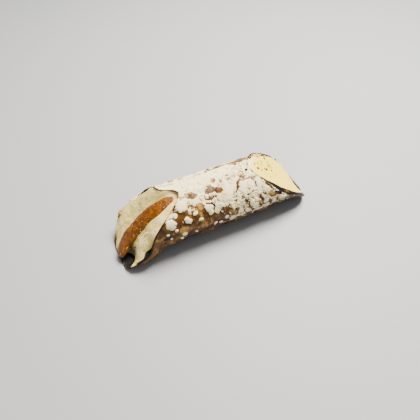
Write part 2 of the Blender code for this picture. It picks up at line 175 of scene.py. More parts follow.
# Crumbs on the ends of the cream: depth (0 in the middle, 1 at the edge), angle, radius, shade
RIGHT_CRUMBS = [
    (0.76, 24.0, 0.8, 0.4), (0.88, 18.0, 0.9, 0.2), (0.48, 90.0, 0.95, 0.45),
    (0.74, 92.0, 0.8, 0.6), (0.30, 86.0, 0.75, 0.2), (0.59, 26.0, 0.65, 0.5),
    (0.57, 5.0, 0.7, 0.2), (0.80, 76.0, 0.7, 0.6), (0.52, 84.0, 0.6, 0.7),
    (0.66, 50.0, 0.6, 0.4), (0.84, 40.0, 0.7, 0.3), (0.45, 40.0, 0.6, 0.4),
    (0.98, 60.0, 0.7, 1.3), (0.97, 56.0, 0.7, 1.3), (0.98, 51.0, 0.6, 1.3),
    (0.98, 44.0, 1.0, 0.0), (0.97, 38.0, 1.2, -0.1), (0.97, 31.0, 1.3, -0.1),
    (0.98, 25.0, 1.2, 0.0), (0.96, 20.0, 0.9, 0.9), (0.98, 15.0, 0.9, 1.2),
    (0.99, 8.0, 0.8, 1.2), (0.93, 35.0, 0.8, 0.1), (0.92, 27.0, 0.7, 0.2),
]
LEFT_CRUMBS = [
    (0.91, 287.0, 1.4, 0.35), (0.88, 281.0, 1.3, 0.45), (0.93, 292.0, 1.3, 0.3),
    (0.85, 276.0, 1.1, 0.5), (0.84, 284.0, 1.1, 0.3), (0.51, 218.0, 0.75, 1.0),
    (0.69, 192.0, 0.35, 0.9), (0.43, 67.0, 0.32, 0.7), (0.50, 212.0, 0.35, 0.9),
    (0.60, 30.0, 0.3, 0.6), (0.72, 60.0, 0.28, 0.6),
]
# Pale curds on the left end: depth, angle, radius
CURDS = [
    (0.52, 174.0, 0.6), (0.54, 171.0, 0.6), (0.56, 168.0, 0.5), (0.49, 216.0, 0.4),
    (0.55, 17.0, 0.5), (0.62, 182.0, 0.4), (0.40, 40.0, 0.4), (0.66, 204.0, 0.5),
    (0.84, 212.0, 0.6), (0.90, 216.0, 0.6), (0.95, 214.0, 0.5),
]
# Lumps along the rims: along, angle, radius, shade
RIM_BITS = [
    (-39.2, 15.0, 1.5, 1.3), (-38.0, 18.0, 1.0, 1.3), (-42.4, 11.0, 1.1, 0.3),
    (-43.8, 8.0, 0.8, 0.2), (-57.6, 343.0, 2.0, 0.2), (-58.3, 339.0, 2.0, 0.25),
    (-56.8, 347.0, 1.8, 0.2), (-59.0, 335.5, 1.5, 0.35), (-57.4, 341.0, 2.0, 0.45),
    (-65.4, 295.0, 1.7, 0.45), (-65.6, 289.0, 1.7, 0.4), (-65.6, 283.0, 1.6, 0.6),
    (-65.8, 279.0, 1.4, 0.6), (-65.0, 299.0, 1.7, 0.4), (-64.6, 303.0, 1.5, 0.7),
    (-63.6, 311.0, 1.0, 0.9), (-61.6, 322.0, 0.8, 1.0), (-59.9, 331.0, 0.7, 0.9),
    (47.0, 24.0, 1.5, -0.1),
    (44.5, 30.0, 1.7, -0.1), (49.2, 19.0, 1.3, 0.0), (41.8, 37.0, 1.5, -0.1),
    (39.0, 45.0, 1.1, 0.2), (40.4, 41.0, 1.2, -0.1), (51.6, 14.0, 1.1, 0.9),
    (54.0, 10.0, 1.0, 1.0), (36.8, 51.0, 0.7, 1.3), (35.0, 57.0, 0.7, 1.3),
    (49.2, 171.5, 1.3, 0.3), (50.4, 174.0, 1.1, 0.35), (47.6, 168.5, 0.9, 0.45),
    (64.5, 345.0, 0.9, 1.0), (66.8, 337.0, 0.8, 1.0), (45.8, 27.0, 1.0, 0.3),
    (43.2, 33.0, 1.1, 0.5),
]
# Small burst bubbles: along, angle, radius
PITS = [
    (-39.8, 188.0, 0.7), (25.0, 100.0, 0.7), (44.0, 168.0, 0.6), (-12.0, 152.0, 0.4),
    (49.5, 186.0, 0.6),
]
# Middle line of the peel
PEEL_PATH = [
    (-25.6, -3.0, 35.7), (-31.1, -2.7, 33.8), (-38.3, -3.4, 29.9), (-46.7, -2.6, 23.8),
    (-55.0, -2.7, 16.7), (-62.0, -4.3, 9.8), (-67.3, -9.2, 4.0),
]
# Half width of the peel at even steps from its upper end to its lower
PEEL_WIDTH = [1.8, 2.9, 4.2, 4.9, 5.2, 5.5, 5.2, 5.0, 5.1, 4.7, 3.6]
PEEL_OUTWARD = (-0.74, -0.12, 0.66)
# Sections of a rim, from the inner skin round to the outer: distance in from the rim, depth as a
# share of the thickness
RIM_SECTION = [
    (2.4, 1.0), (0.9, 1.0), (0.35, 0.93), (0.08, 0.76), (0.0, 0.5), (0.08, 0.24), (0.32, 0.06),
    (0.7, 0.0),
]
LINING_SECTION = [(1.6, 1.0), (0.5, 1.0), (0.15, 0.9), (0.0, 0.5), (0.15, 0.1), (0.5, 0.0)]
# Rows of the hidden sides, as shares of the way along them
TUBE_INNER_ROWS = [0.02, 0.05, 0.10, 0.18, 0.30, 0.5, 0.7, 0.82, 0.90, 0.95, 0.98]
LINING_OUTER_ROWS = [0.0, 0.05, 0.15, 0.3, 0.5, 0.7, 0.85, 0.95, 1.0]
# Finishes that no setting holds
# Colour of the chocolate stains on the cream, also used as painted shade in the gap behind the near left
# lip.
STAIN_AND_SHADE = (0.05, 0.045, 0.035)
SYRUP = (0.66, 0.36, 0.08)
SUGARY_PEEL = (0.42, 0.20, 0.05)
CLEAR_CRYSTAL = (0.40, 0.18, 0.05)
WHITE_CRYSTAL = (0.78, 0.58, 0.34)
PALE_CURD = (0.93, 0.86, 0.62)
CREAMY_CRUMB = (0.84, 0.66, 0.28)
TAN_CRUMB = (0.46, 0.21, 0.04)
LAMP_LIGHT = (1.0, 0.92, 0.80)
ROOM_LIGHT = (1.0, 0.96, 0.90)
# How far light of each colour travels inside, in metres
CREAM_DEPTH = (0.0010, 0.0009, 0.0006)
PEEL_DEPTH = (0.0022, 0.0008, 0.0002)
CRYSTAL_DEPTH = (0.0006, 0.0005, 0.0003)


# ---------------------------------------------------------------- settings


def length(name, default, description):
    return FloatProperty(name=name, description=description, default=default, unit="LENGTH")


def colour(name, default, description):
    return FloatVectorProperty(
        name=name, description=description, default=default, subtype="COLOR", size=3, min=0, max=1
    )


class CannoloTube(bpy.types.PropertyGroup):
    radius: length("Radius", 0.020, "Outer radius of the tube")
    axis: length("Axis height", 0.0196, "Height of the tube's axis over the table")
    wall: length("Wall", 0.0020, "Thickness of the dough")
    thinning: length("Rim thinning", 0.0009, "How much thinner the dough is at its rims")
    relief: length("Relief limit", 0.00066, "How far blisters and powder stand out at most")
    lip: length("Lip", 0.0056, "How far the near lower left corner stands away")
    lap: length("Lap", 0.0008, "Step at the edge of the lapped dough")
    blisters: IntProperty(name="Blisters", description="Number of small blisters", default=620)
    seed: IntProperty(name="Seed", description="Seed of the blisters", default=11)
    light: colour("Light dough", (0.54, 0.295, 0.075), "Thin, pale fried dough")
    middle: colour("Dough", (0.110, 0.046, 0.008), "Golden brown fried dough")
    # Also the darkest tone of the painted shade in creases, pits, the crevice, the underside and under
    # the right tip.
    dark: colour("Dark dough", (0.035, 0.012, 0.004), "Edges and creases fried dark")


class CannoloPowder(bpy.types.PropertyGroup):
    depth: length("Depth", 0.00030, "Thickness of the powder where it lies thick")
    lumps: IntProperty(name="Lumps", description="Number of small powder lumps", default=2400)
    colour: colour("Powder", (1.0, 0.87, 0.54), "Powdered sugar")


class CannoloCream(bpy.types.PropertyGroup):
    left_bulge: length("Left bulge", 0.0040, "How far the left face is domed")
    right_bulge: length("Right bulge", 0.0022, "How far the right face is domed")
    colour: colour("Cream", (0.90, 0.71, 0.225), "Sweet ricotta cream")
    rich: colour("Rich cream", (0.95, 0.73, 0.052), "Yellower cream of the right end")
    crumbs: IntProperty(name="Crumbs", description="Number of crumbs on the right end", default=34)


class CannoloPeel(bpy.types.PropertyGroup):
    thickness: length("Thickness", 0.0034, "Thickness of the strip")
    colour: colour("Peel", (0.215, 0.070, 0.0020), "Candied peel")
    deep: colour("Deep peel", (0.11, 0.034, 0.0015), "Thicker, darker candied peel")
    crystals: IntProperty(name="Crystals", description="Sugar crystals on the peel", default=90)


class CannoloChocolate(bpy.types.PropertyGroup):
    thickness: length("Thickness", 0.0005, "How far the chocolate stands in from the dough")
    colour: colour("Chocolate", (0.0055, 0.0055, 0.0055), "Dark chocolate")


class CannoloStage(bpy.types.PropertyGroup):
    elevation: FloatProperty(
        name="Elevation", description="Camera above the table", default=math.radians(50.0),
        subtype="ANGLE",
    )
    azimuth: FloatProperty(
        name="Azimuth", description="Camera round the table", default=math.radians(-25.4),
        subtype="ANGLE",
    )
    camera: FloatVectorProperty(
        name="Camera", description="Where the camera stands", default=(-0.07423, -0.14990, 0.20628),
        subtype="TRANSLATION", size=3,
    )
    lens: FloatProperty(name="Lens", description="Focal length in mm", default=31.6)
    key: FloatProperty(
        name="Key", description="Strength of the main light", default=24.0, unit="POWER"
    )
    fill: FloatProperty(name="Fill", description="Strength of the even light", default=0.45)
    floor: colour("Floor", (0.37, 0.395, 0.43), "Table top")


SETTINGS = {
    "cannolo_tube": CannoloTube,
    "cannolo_powder": CannoloPowder,
    "cannolo_cream": CannoloCream,
    "cannolo_peel": CannoloPeel,
    "cannolo_chocolate": CannoloChocolate,
    "cannolo_stage": CannoloStage,
}


def settings(name):
    """One group of settings of the scene."""
    return getattr(bpy.context.scene, "cannolo_" + name)


def mm(value):
    """Metres to millimetres."""
    return value * 1000.0


# ---------------------------------------------------------------- curves and noise


def hermite(xs, vs, at):
    """Cubic curve through the points (xs, vs), evaluated at `at` and flat beyond its ends."""
    xs = np.asarray(xs, float)
    vs = np.asarray(vs, float)
    slope = np.gradient(vs, xs)
    at = np.clip(at, xs[0], xs[-1])
    i = np.clip(np.searchsorted(xs, at, side="right") - 1, 0, len(xs) - 2)
    h = xs[i + 1] - xs[i]
    t = (at - xs[i]) / h
    return (
        (2 * t**3 - 3 * t**2 + 1) * vs[i]
        + (t**3 - 2 * t**2 + t) * h * slope[i]
        + (3 * t**2 - 2 * t**3) * vs[i + 1]
        + (t**3 - t**2) * h * slope[i + 1]
    )


def curve(points, at):
    """Cubic curve through (place, value) points."""
    places, values = zip(*points)
    return hermite(places, values, at)


def closed_curve(points, angle):
    """Smooth curve that closes on itself after 360 degrees, through (angle, value) points."""
    a, v = np.array(sorted((a % 360.0, v) for a, v in points)).T
    return hermite(np.concatenate([a - 360, a, a + 360]), np.tile(v, 3), np.mod(angle, 360.0))


def smooth(t):
    """0 below t = 0, 1 above t = 1, with an easy turn between."""
    t = np.clip(t, 0.0, 1.0)
    return t * t * (3 - 2 * t)


def turn(a, b):
    """Signed difference of two angles, from -180 to 180 degrees."""
    return np.mod(a - b + 180.0, 360.0) - 180.0


def hump(angle, centre, spread):
    """1 at `centre`, easing to 0 at `spread` degrees on both sides."""
    return smooth(1 - np.abs(turn(angle, centre)) / spread)


def noise(points, cell, seed):
    """Smooth noise from -1 to 1: random values on a lattice of side `cell`, eased between."""
    q = points / cell + 13.7 * seed
    base = np.floor(q)
    f = q - base
    f = f * f * f * (f * (f * 6 - 15) + 10)
    i = base.astype(np.int64)
    total = np.zeros(points.shape[:-1])
    for corner in range(8):
        step = np.array([corner & 1, corner >> 1 & 1, corner >> 2 & 1])
        weight = np.prod(np.where(step, f, 1 - f), axis=-1)
        k = i + step
        h = (k[..., 0] * 73856093) ^ (k[..., 1] * 19349663) ^ (k[..., 2] * 83492791) ^ (seed * 9176)
        h = ((h ^ (h >> 13)) * 1274126177) & 0xFFFFFFFF
        h = (h ^ (h >> 16)) & 0xFFFF
        total += weight * (h / 32767.5 - 1)
    return total


def rough(points, cell, octaves, seed):
    """Sum of noises, each half as large and half as strong as the one before."""
    total = 0.0
    for n in range(octaves):
        total = total + noise(points, cell / 2**n, seed + n) / 2**n
    return total


def unit(v):
    """Vectors made one long."""
    return v / np.linalg.norm(v, axis=-1, keepdims=True)


# ---------------------------------------------------------------- the tube's shape


def on_cylinder(x, angle):
    """Points of the plain cylinder, for reading noise on the dough."""
    t = np.radians(angle)
    return np.stack(np.broadcast_arrays(x, RADIUS * np.cos(t), RADIUS * np.sin(t)), -1)


def round_skin(angle, centre):
    """Distance round the plain cylinder from `centre` to `angle`, in millimetres."""
    return np.radians(turn(angle, centre)) * RADIUS


def ragged(angle, seed):
    """Small ups and downs of a rim, in millimetres."""
    return 0.28 * rough(on_cylinder(0.0 * angle, angle), 3.0, 3, seed)


def left_rim(angle):
    return closed_curve(LEFT_RIM, angle)


def right_rim(angle):
    return closed_curve(RIGHT_RIM, angle)


def coat_width(angle):
    """How far the chocolate reaches past the dough at the near right rim, in millimetres."""
    return np.maximum(curve(WEDGE, np.mod(angle, 360.0)), 0)


def dough_rims(angle):
    """Ragged left and right rims of the dough; the right one stops short of the chocolate."""
    right = right_rim(angle) - coat_width(angle) + ragged(angle, RIGHT_RAGGED)
    return left_rim(angle) + ragged(angle, LEFT_RAGGED), right


def to_rim(x, angle):
    """Distance along the tube to the nearer rim."""
    return np.minimum(x - left_rim(angle), right_rim(angle) - x)


def smooth_radius(x, angle):
    """Outer radius without blisters: a cylinder with the standing lip and the right tip."""
    lip = mm(settings("tube").lip) * smooth((-37.0 - x) / 16.0)
    tip = 1.8 * smooth((x - 50) / 22)
    return mm(settings("tube").radius) + lip * hump(angle, 221, 58) + tip * hump(angle, 228, 50)


def behind_lap(x, angle):
    """Degrees behind the edge of the lapped dough, from 0 to 360."""
    return np.mod(curve(LAP_EDGE, x) - angle, 360.0)


def lap_drop(x, angle):
    """How far the dough lies below the lap: full just behind its edge, none far from it."""
    behind = behind_lap(x, angle)
    drop = smooth(behind / 1.6) * (1 - smooth(behind / 190)) * (behind < 190)
    return mm(settings("tube").lap) * drop * smooth(to_rim(x, angle) / RIM_FADE)


def bevel(angle):
    """1 where the outer layer of the right rim has broken back, easing to 0 round the tube."""
    return smooth((angle - 113) / 24) * smooth((186 - angle) / 12)


def band(angle):
    """1 where the chocolate and cream stand out past the near right rim."""
    return smooth((40 - np.abs(turn(angle, 162))) / 22)


def far_left(angle):
    """1 along the far side of the left rim and by its top, where the cream comes up flush."""
    low = smooth((50 - np.abs(turn(angle, 338))) / 18)
    high = 0.9 * smooth((13 - np.abs(turn(angle, 47))) / 7)
    return np.maximum(low, high)


def wall(x, angle):
    """Dough thickness, less near both rims, more under the broken layer of the right one."""
    tube = settings("tube")
    thin = mm(tube.thinning) * (1 - smooth(to_rim(x, angle) / RIM_FADE))
    return mm(tube.wall) - thin + 0.5 * bevel(angle) * smooth((x - right_rim(angle) + 8) / 5)


def small_blisters():
    """Random blisters all over the dough: most of them small, some up to 3 mm in radius."""
    tube = settings("tube")
    rng = np.random.default_rng(tube.seed)
    along = rng.uniform(-70, 77, tube.blisters)
    angle = rng.uniform(0, 360, tube.blisters)
    radius = 0.7 + 2.4 * rng.random(tube.blisters) ** 2.4
    height = 0.24 * radius**0.75 * rng.uniform(0.6, 1.3, tube.blisters)
    return list(zip(along, angle, radius, height))


def dough_relief(x, angle):
    """Height of the fried dough over the smooth tube, the creases round its blisters, its pits.

    Every blister is a dome height * (1 - d^2)^0.6, where d is the distance from its middle over
    its radius.  The tallest dome wins, so neighbours meet in creases.  The distances are bent by
    noise to make the outlines uneven.
    """
    p = on_cylinder(x, angle)
    bend = 0.55 * noise(p, 3.2, 3) + 0.3 * noise(p, 1.4, 4)
    bend_round = 0.55 * noise(p, 3.2, 5) + 0.3 * noise(p, 1.4, 6)
    height = np.zeros(x.shape)
    ring = np.zeros(x.shape)
    for along, around, radius, top in BLISTERS + small_blisters():
        side = round_skin(angle, around) + bend_round
        d = np.hypot(x - along + bend, side) / radius
        height = np.maximum(height, top * np.clip(1 - d * d, 0, 1) ** 0.6)
        if radius > 1.8:
            ring = np.maximum(ring, np.exp(-(((d - 1.03) * radius / 0.34) ** 2)))
    dips = np.zeros(x.shape)
    for along, around, radius in PITS:
        away = np.hypot(x - along, round_skin(angle, around))
        dips = np.maximum(dips, np.exp(-(away / radius) ** 4))
    height = height + 0.16 * rough(p, 5.0, 3, 8) - 0.7 * dips
    flat = 1 - smooth(1.6 - np.abs(turn(angle, 270)) / 18)
    return height * flat, ring, dips


def fallen_powder(x, angle, ring):
    """Powder at each point from 0 (bare) to about 1 (thick), before it is rubbed or heaped.

    It lies on what faces up, patchy with noise, and ends at POWDER_END on the near side and low on
    the far side.  Dust reaches further down the near side, and creases hold less of it.
    """
    p = on_cylinder(x, angle)
    wide = rough(p, 9.0, 2, 21)
    fine = rough(p, 2.6, 3, 24)
    spots = rough(p, 1.5, 2, 27)
    near = turn(angle, 90) > 0
    edge = np.where(near, curve(POWDER_END, x) - 90, 54.0)
    over = (edge + 8 * wide + 9 * fine - np.abs(turn(angle, 90))) / np.where(near, 30.0, 40.0)
    cover = smooth(over + 0.5) * (0.56 + 0.20 * wide + 0.26 * fine)
    cover = cover + 0.02 + 0.14 * fine - 0.30 * smooth((82 - angle) / 14) * (angle > 20)
    cover = cover - 0.13 * smooth((-12 - x) / 12) * smooth((128 - angle) / 20)
    dusty = smooth((x + 4) / 12) * smooth((206 - angle) / 22) * near
    cover = np.maximum(cover, dusty * (0.47 + 0.36 * fine + 0.18 * wide + 0.22 * spots))
    low = smooth((x + 36) / 6) * smooth((angle - 168) / 14) * smooth((214 - angle) / 20)
    cover = np.maximum(cover, low * (0.13 + 0.22 * fine + 0.12 * spots))
    return cover - 0.30 * ring * smooth(0.5 + 1.6 * noise(p, 6.0, 31))


def rubbed_off(x, angle):
    """Powder rubbed off along the strokes of BARE, and how much darker the dough is there; along the
    right rim's crevice both are painted shade.

    Each stroke is full within half its half width of its line and eases out beyond; the distance
    to the line is bent by noise.
    """
    p = on_cylinder(x, angle)
    bend_x = 0.7 * noise(p, 2.2, 41) + 0.45 * noise(p, 0.9, 42)
    bend_s = 0.7 * noise(p, 2.2, 43) + 0.45 * noise(p, 0.9, 44)
    s = round_skin(angle, 90)
    rubbed = np.zeros(x.shape)
    darker = np.zeros(x.shape)
    for x1, a1, x2, a2, half, strength, dark in BARE:
        s1, s2 = round_skin(np.array([a1, a2]), 90)
        run_x, run_s = x2 - x1 + 1e-6, s2 - s1
        t = ((x - x1) * run_x + (s - s1) * run_s) / (run_x**2 + run_s**2)
        t = np.clip(t, 0, 1)
        d = np.hypot(x - x1 - t * run_x + bend_x, s - s1 - t * run_s + bend_s)
        mark = 1 - smooth((d - 0.55 * half) / (0.35 + 0.75 * half))
        rubbed = rubbed + 0.80 * strength * mark
        darker = darker + dark * mark
    return rubbed, darker


def heaped(cover, x, angle):
    """The cover with the heaps of powder laid on it, and the heaps' height.

    A heap is an oval dome height * sqrt(1 - d^2), where d is the distance from its middle over its
    radius.  It is thick all over and stands in a barer ring, barer lower on the tube, which is also
    painted shadow round the heap.  Each oval is turned another way.
    """
    p = on_cylinder(x, angle)
    # Painted shadow in part: the barer ring round each heap, stronger lower on the tube.
    gap = 0.06 + 0.24 * smooth((angle - 132) / 14)
    heap = np.zeros(x.shape)
    for n, (along, around, radius, height) in enumerate(HEAPS):
        lean, stretch = 2.4 * n, 0.1 * math.sin(3.7 * n)
        dx = x - along + 0.10 * radius * noise(p, 2.0, 45)
        ds = round_skin(angle, around) + 0.10 * radius * noise(p, 2.0, 46)
        a = (dx * math.cos(lean) + ds * math.sin(lean)) / (1.12 + stretch)
        b = (ds * math.cos(lean) - dx * math.sin(lean)) / (0.88 - stretch)
        d = np.hypot(a, b) / radius
        cover = cover - gap * np.exp(-(((d - 1.35) * radius / 0.5) ** 2))
        cover = np.maximum(cover, 1.15 * (1 - smooth((d - 0.72) / 0.42)))
        heap = np.maximum(heap, height * np.sqrt(np.clip(1 - d * d, 0, 1)))
    return cover, heap


def outer_skin(x, angle):
    """Radius of the dusted outside, and its powder, creases, pits, blisters and darker dough.

    The radius is the smooth tube less the lap, plus blisters, powder and heaps.  What stands out
    is bent over towards a limit, limit * (1 - exp(-height / limit)), and fades at the rims.
    """
    tube = settings("tube")
    relief, ring, dips = dough_relief(x, angle)
    rubbed, darker = rubbed_off(x, angle)
    cover, heap = heaped(fallen_powder(x, angle, ring) - rubbed, x, angle)
    powder = smooth((cover - 0.25) / 0.45)
    lumps = 0.5 + 0.5 * rough(on_cylinder(x, angle), 1.1, 2, 51)
    height = relief * (1 - 0.30 * powder) + powder * mm(settings("powder").depth) * (0.6 + lumps)
    height = height + 1.3 * heap - 0.34
    limit = mm(tube.relief) + 0.8 * smooth((angle - 122) / 34) * smooth((240 - angle) / 30)
    height = np.where(height > 0, limit * (1 - np.exp(-height / limit)) * 1.05, height)
    radius = smooth_radius(x, angle) - lap_drop(x, angle) + height * smooth(to_rim(x, angle) / 2.5)
    return radius, SimpleNamespace(cover=cover, ring=ring, dips=dips, relief=relief, darker=darker)


def tube_point(x, angle, radius, floor):
    """Points at the given radius round the axis, kept above the height `floor`."""
    t = np.radians(angle)
    z = np.maximum(mm(settings("tube").axis) + radius * np.sin(t), floor)
    return np.stack(np.broadcast_arrays(x, radius * np.cos(t), z), -1)


# ---------------------------------------------------------------- the cream's shape


def left_cream_edge(angle):
    """Where the cream leaves the chocolate at the left: further in over the bare tip."""
    bare = smooth((angle - 219.5) / 4) * smooth((255 - angle) / 8)
    teeth = noise(on_cylinder(0 * angle, angle), 1.3, 131)
    inset = 0.8 - 0.85 * hump(angle, 85, 60) + 1.9 * hump(angle, 292, 18) - far_left(angle)
    return left_rim(angle) + inset + bare * (10.0 + 2.0 * teeth)


def right_cream_edge(angle):
    """Where the cream meets the chocolate at the right: further in underneath the tip."""
    behind = 0.8 + 2.2 * hump(angle, 256, 46) + 0.5 * hump(angle, 146, 46)
    return right_rim(angle) - behind


def cream_radius(x, angle):
    """Radius of the cream: against the chocolate, following only a share of the standing lip."""
    lip = np.where(x < 0, smooth_radius(x, angle) - mm(settings("tube").radius), 0)
    share = 0.30 + 0.68 * smooth((angle - 200) / 6)
    inside = mm(settings("tube").radius) - wall(x, angle) - mm(settings("chocolate").thickness)
    swell = 0.7 * far_left(angle) * smooth((left_rim(angle) + 3 - x) / 2.5)
    return inside + 0.1 + swell + share * np.maximum(lip, 0)


def face_distance(edge, depth, angle):
    """Surface spanning a closed edge: the edge's waves fade towards the middle as depth^n.

    `edge` is a function of the angle; depth is 0 in the middle and 1 at the edge.
    """
    count = 256
    waves = np.fft.rfft(edge(np.arange(count) * 360.0 / count)) / count
    total = np.full(np.broadcast(depth, angle).shape, waves[0].real)
    at_edge = total
    for n in range(1, 9):
        wave = 2 * (waves[n] * np.exp(1j * n * np.radians(angle))).real
        total = total + wave * depth**n
        at_edge = at_edge + wave
    return total + (edge(angle) - at_edge) * depth**14


def left_cream(depth, angle):
    """Left end of the cream: a domed face out to the shoulder, then down behind the rim."""
    on_face = np.clip(depth / SHOULDER, 0, 1)
    down = np.clip((depth - SHOULDER) / (1 - SHOULDER), 0, 1)
    bulge = mm(settings("cream").left_bulge) * (1 - on_face**3.2) ** 0.6
    face = face_distance(left_cream_edge, on_face, angle) - bulge
    edge = left_cream_edge(angle) + 1.2 * down
    return face + 1.2 * down, cream_radius(edge, angle) * on_face


def right_cream(depth, angle):
    """Right end of the cream: a low dome, bulge * (1 - depth^2.6), from edge to edge."""
    edge = right_cream_edge(angle)
    bulge = mm(settings("cream").right_bulge) * (1 - depth**2.6)
    return face_distance(right_cream_edge, depth, angle) + bulge, cream_radius(edge, angle) * depth


def peel_middle(t):
    """Point of the peel's middle line and its frame (along, sideways, outward), t from 0 to 1."""
    path = np.array(PEEL_PATH)
    knots = np.arange(len(path), dtype=float)

    def at(t):
        return np.stack([hermite(knots, path[:, i], t * knots[-1]) for i in range(3)], -1)

    along = unit(at(t + 0.015) - at(t - 0.015))
    outward = np.array(PEEL_OUTWARD)
    outward = unit(outward - (along @ outward)[..., None] * along)
    return at(t), along, np.cross(along, outward), outward


# ---------------------------------------------------------------- meshes


def place(points):
    """Millimetres of the tube's frame to metres about the middle of the piece."""
    return (points - np.array([CENTRE_X, CENTRE_Y, 0.0])) * 0.001


def make_mesh(name, points, loops, sizes, fields=None):
    """Mesh object from vertices in millimetres, face corners and corners per face."""
    mesh = bpy.data.meshes.new(name)
    mesh.vertices.add(len(points))
    mesh.vertices.foreach_set("co", place(points).astype(np.float32).ravel())
    mesh.loops.add(len(loops))
    mesh.loops.foreach_set("vertex_index", loops.astype(np.int32))
    mesh.polygons.add(len(sizes))
    starts = np.concatenate([[0], np.cumsum(sizes)[:-1]]).astype(np.int32)
    mesh.polygons.foreach_set("loop_start", starts)
    mesh.update(calc_edges=True)
    if mesh.validate(verbose=False):
        raise RuntimeError(f"{name}: its faces are not sound")
    mesh.shade_smooth()
    for key, values in (fields or {}).items():
        layer = mesh.attributes.new(key, "FLOAT", "POINT")
        layer.data.foreach_set("value", np.asarray(values, np.float32).ravel())
    piece = bpy.data.objects.new(name, mesh)
    bpy.context.scene.collection.objects.link(piece)
    return piece


def ring_faces(rows, columns):
    """Quads of a grid that closes on itself both ways."""
    i = np.arange(rows * columns).reshape(rows, columns)
    right, up = np.roll(i, -1, 1), np.roll(i, -1, 0)
    quads = np.stack([i, right, np.roll(right, -1, 0), up], -1).reshape(-1, 4)
    return quads.ravel(), np.full(len(quads), 4)


def ball_faces(rows, columns):
    """Faces of rings that close round, capped at both ends by one pole vertex each.

    The vertices are the rings row by row, then the first pole, then the last.
    """
    i = np.arange(rows * columns).reshape(rows, columns)
    right = np.roll(i, -1, 1)
    quads = np.stack([i[:-1], right[:-1], right[1:], i[1:]], -1).reshape(-1, 4)
    first, last = rows * columns, rows * columns + 1
    start = np.stack([np.full(columns, first), right[0], i[0]], -1)
    end = np.stack([np.full(columns, last), i[-1], right[-1]], -1)
    loops = np.concatenate([quads.ravel(), start.ravel(), end.ravel()])
    return loops, np.concatenate([np.full(len(quads), 4), np.full(2 * columns, 3)])


def copies(name, template, loops, sizes, centres, frames, scales, fields=None):
    """One mesh of many copies of a small closed template, each turned, scaled and placed."""
    points = np.einsum("nvi,nij->nvj", template[None] * scales[:, None, :], frames)
    points = points + centres[:, None, :]
    count, verts = points.shape[:2]
    shift = np.repeat(np.arange(count) * verts, len(loops))
    all_loops = np.tile(loops, count) + shift
    fields = {k: np.repeat(v, verts) for k, v in (fields or {}).items()}
    return make_mesh(name, points.reshape(-1, 3), all_loops, np.tile(sizes, count), fields)


def random_frames(rng, count):
    """Random turns as rows of three unit vectors each."""
    a = unit(rng.normal(size=(count, 3)))
    b = rng.normal(size=(count, 3))
    b = unit(b - np.sum(a * b, -1, keepdims=True) * a)
    return np.stack([a, b, np.cross(a, b)], 1)


def pebble(rows, columns, seed, amount):
    """Small ball of radius 1 made uneven by `amount`, as points, loops and sizes."""
    v = np.pi * (np.arange(rows) + 1) / (rows + 1)
    u = 2 * np.pi * np.arange(columns) / columns
    v, u = np.meshgrid(v, u, indexing="ij")
    points = np.stack([np.sin(v) * np.cos(u), np.sin(v) * np.sin(u), np.cos(v)], -1).reshape(-1, 3)
    points = np.concatenate([points, [[0, 0, 1.0], [0, 0, -1.0]]])
    lumps = noise(points, 0.9, seed) + 0.5 * noise(points, 0.4, seed + 1)
    points = points * (1 + amount * lumps)[:, None]
    return points, *ball_faces(rows, columns)


def settle(piece, slot, material, *nodes):
    """Gives a piece its material, ties it to the frame and hides the model parts named."""
    piece.data.materials.append(material)
    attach(piece, "root")
    if nodes:
        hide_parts(*nodes)


# ---------------------------------------------------------------- node helpers


def add(tree, kind, inputs=None, **options):
    """Adds a node; `inputs` maps sockets to values or to the sockets that feed them."""
    n = tree.nodes.new(kind)
    for key, value in options.items():
        setattr(n, key, value)
    for key, value in (inputs or {}).items():
        if isinstance(value, bpy.types.NodeSocket):
            tree.links.new(value, n.inputs[key])
        else:
            n.inputs[key].default_value = value
    return n


def grain(tree, vector, scale, detail=3.0, roughness=0.55):
    """Noise texture value, with `scale` spots to the metre."""
    inputs = {"Vector": vector, "Scale": scale, "Detail": detail, "Roughness": roughness}
    return add(tree, "ShaderNodeTexNoise", inputs).outputs[0]


def maths(tree, operation, a, b, clamp=False):
    """Result of a sum of two values."""
    n = add(tree, "ShaderNodeMath", {0: a, 1: b}, operation=operation, use_clamp=clamp)
    return n.outputs[0]


def sway(tree, value, amount):
    """A noise value's distance from its middle, times `amount`."""
    return maths(tree, "MULTIPLY", maths(tree, "SUBTRACT", value, 0.5), amount)


def span(tree, value, low, high, to_low=0.0, to_high=1.0):
    """Eases a value from low..high to to_low..to_high."""
    inputs = {"Value": value, "From Min": low, "From Max": high, "To Min": to_low, "To Max": to_high}
    n = add(tree, "ShaderNodeMapRange", inputs, interpolation_type="SMOOTHSTEP")
    return n.outputs[0]


def blend(tree, factor, a, b):
    """Mix of two colours."""
    n = add(tree, "ShaderNodeMix", {0: factor, 6: a, 7: b}, data_type="RGBA")
    return n.outputs[2]


def field(tree, name):
    """Value of a point attribute."""
    return add(tree, "ShaderNodeAttribute", attribute_name=name).outputs["Fac"]


def rgba(c):
    """Opaque colour."""
    return (c[0], c[1], c[2], 1.0)


def new_group(name, inputs, outputs):
    """Shader node group with named sockets, and its inner input and output nodes."""
    tree = bpy.data.node_groups.new(name, "ShaderNodeTree")
    for key, kind, value in inputs:
        s = tree.interface.new_socket(key, in_out="INPUT", socket_type=kind)
        if value is not None:
            s.default_value = value
    for key, kind in outputs:
        tree.interface.new_socket(key, in_out="OUTPUT", socket_type=kind)
    return tree, tree.nodes.new("NodeGroupInput").outputs, tree.nodes.new("NodeGroupOutput").inputs


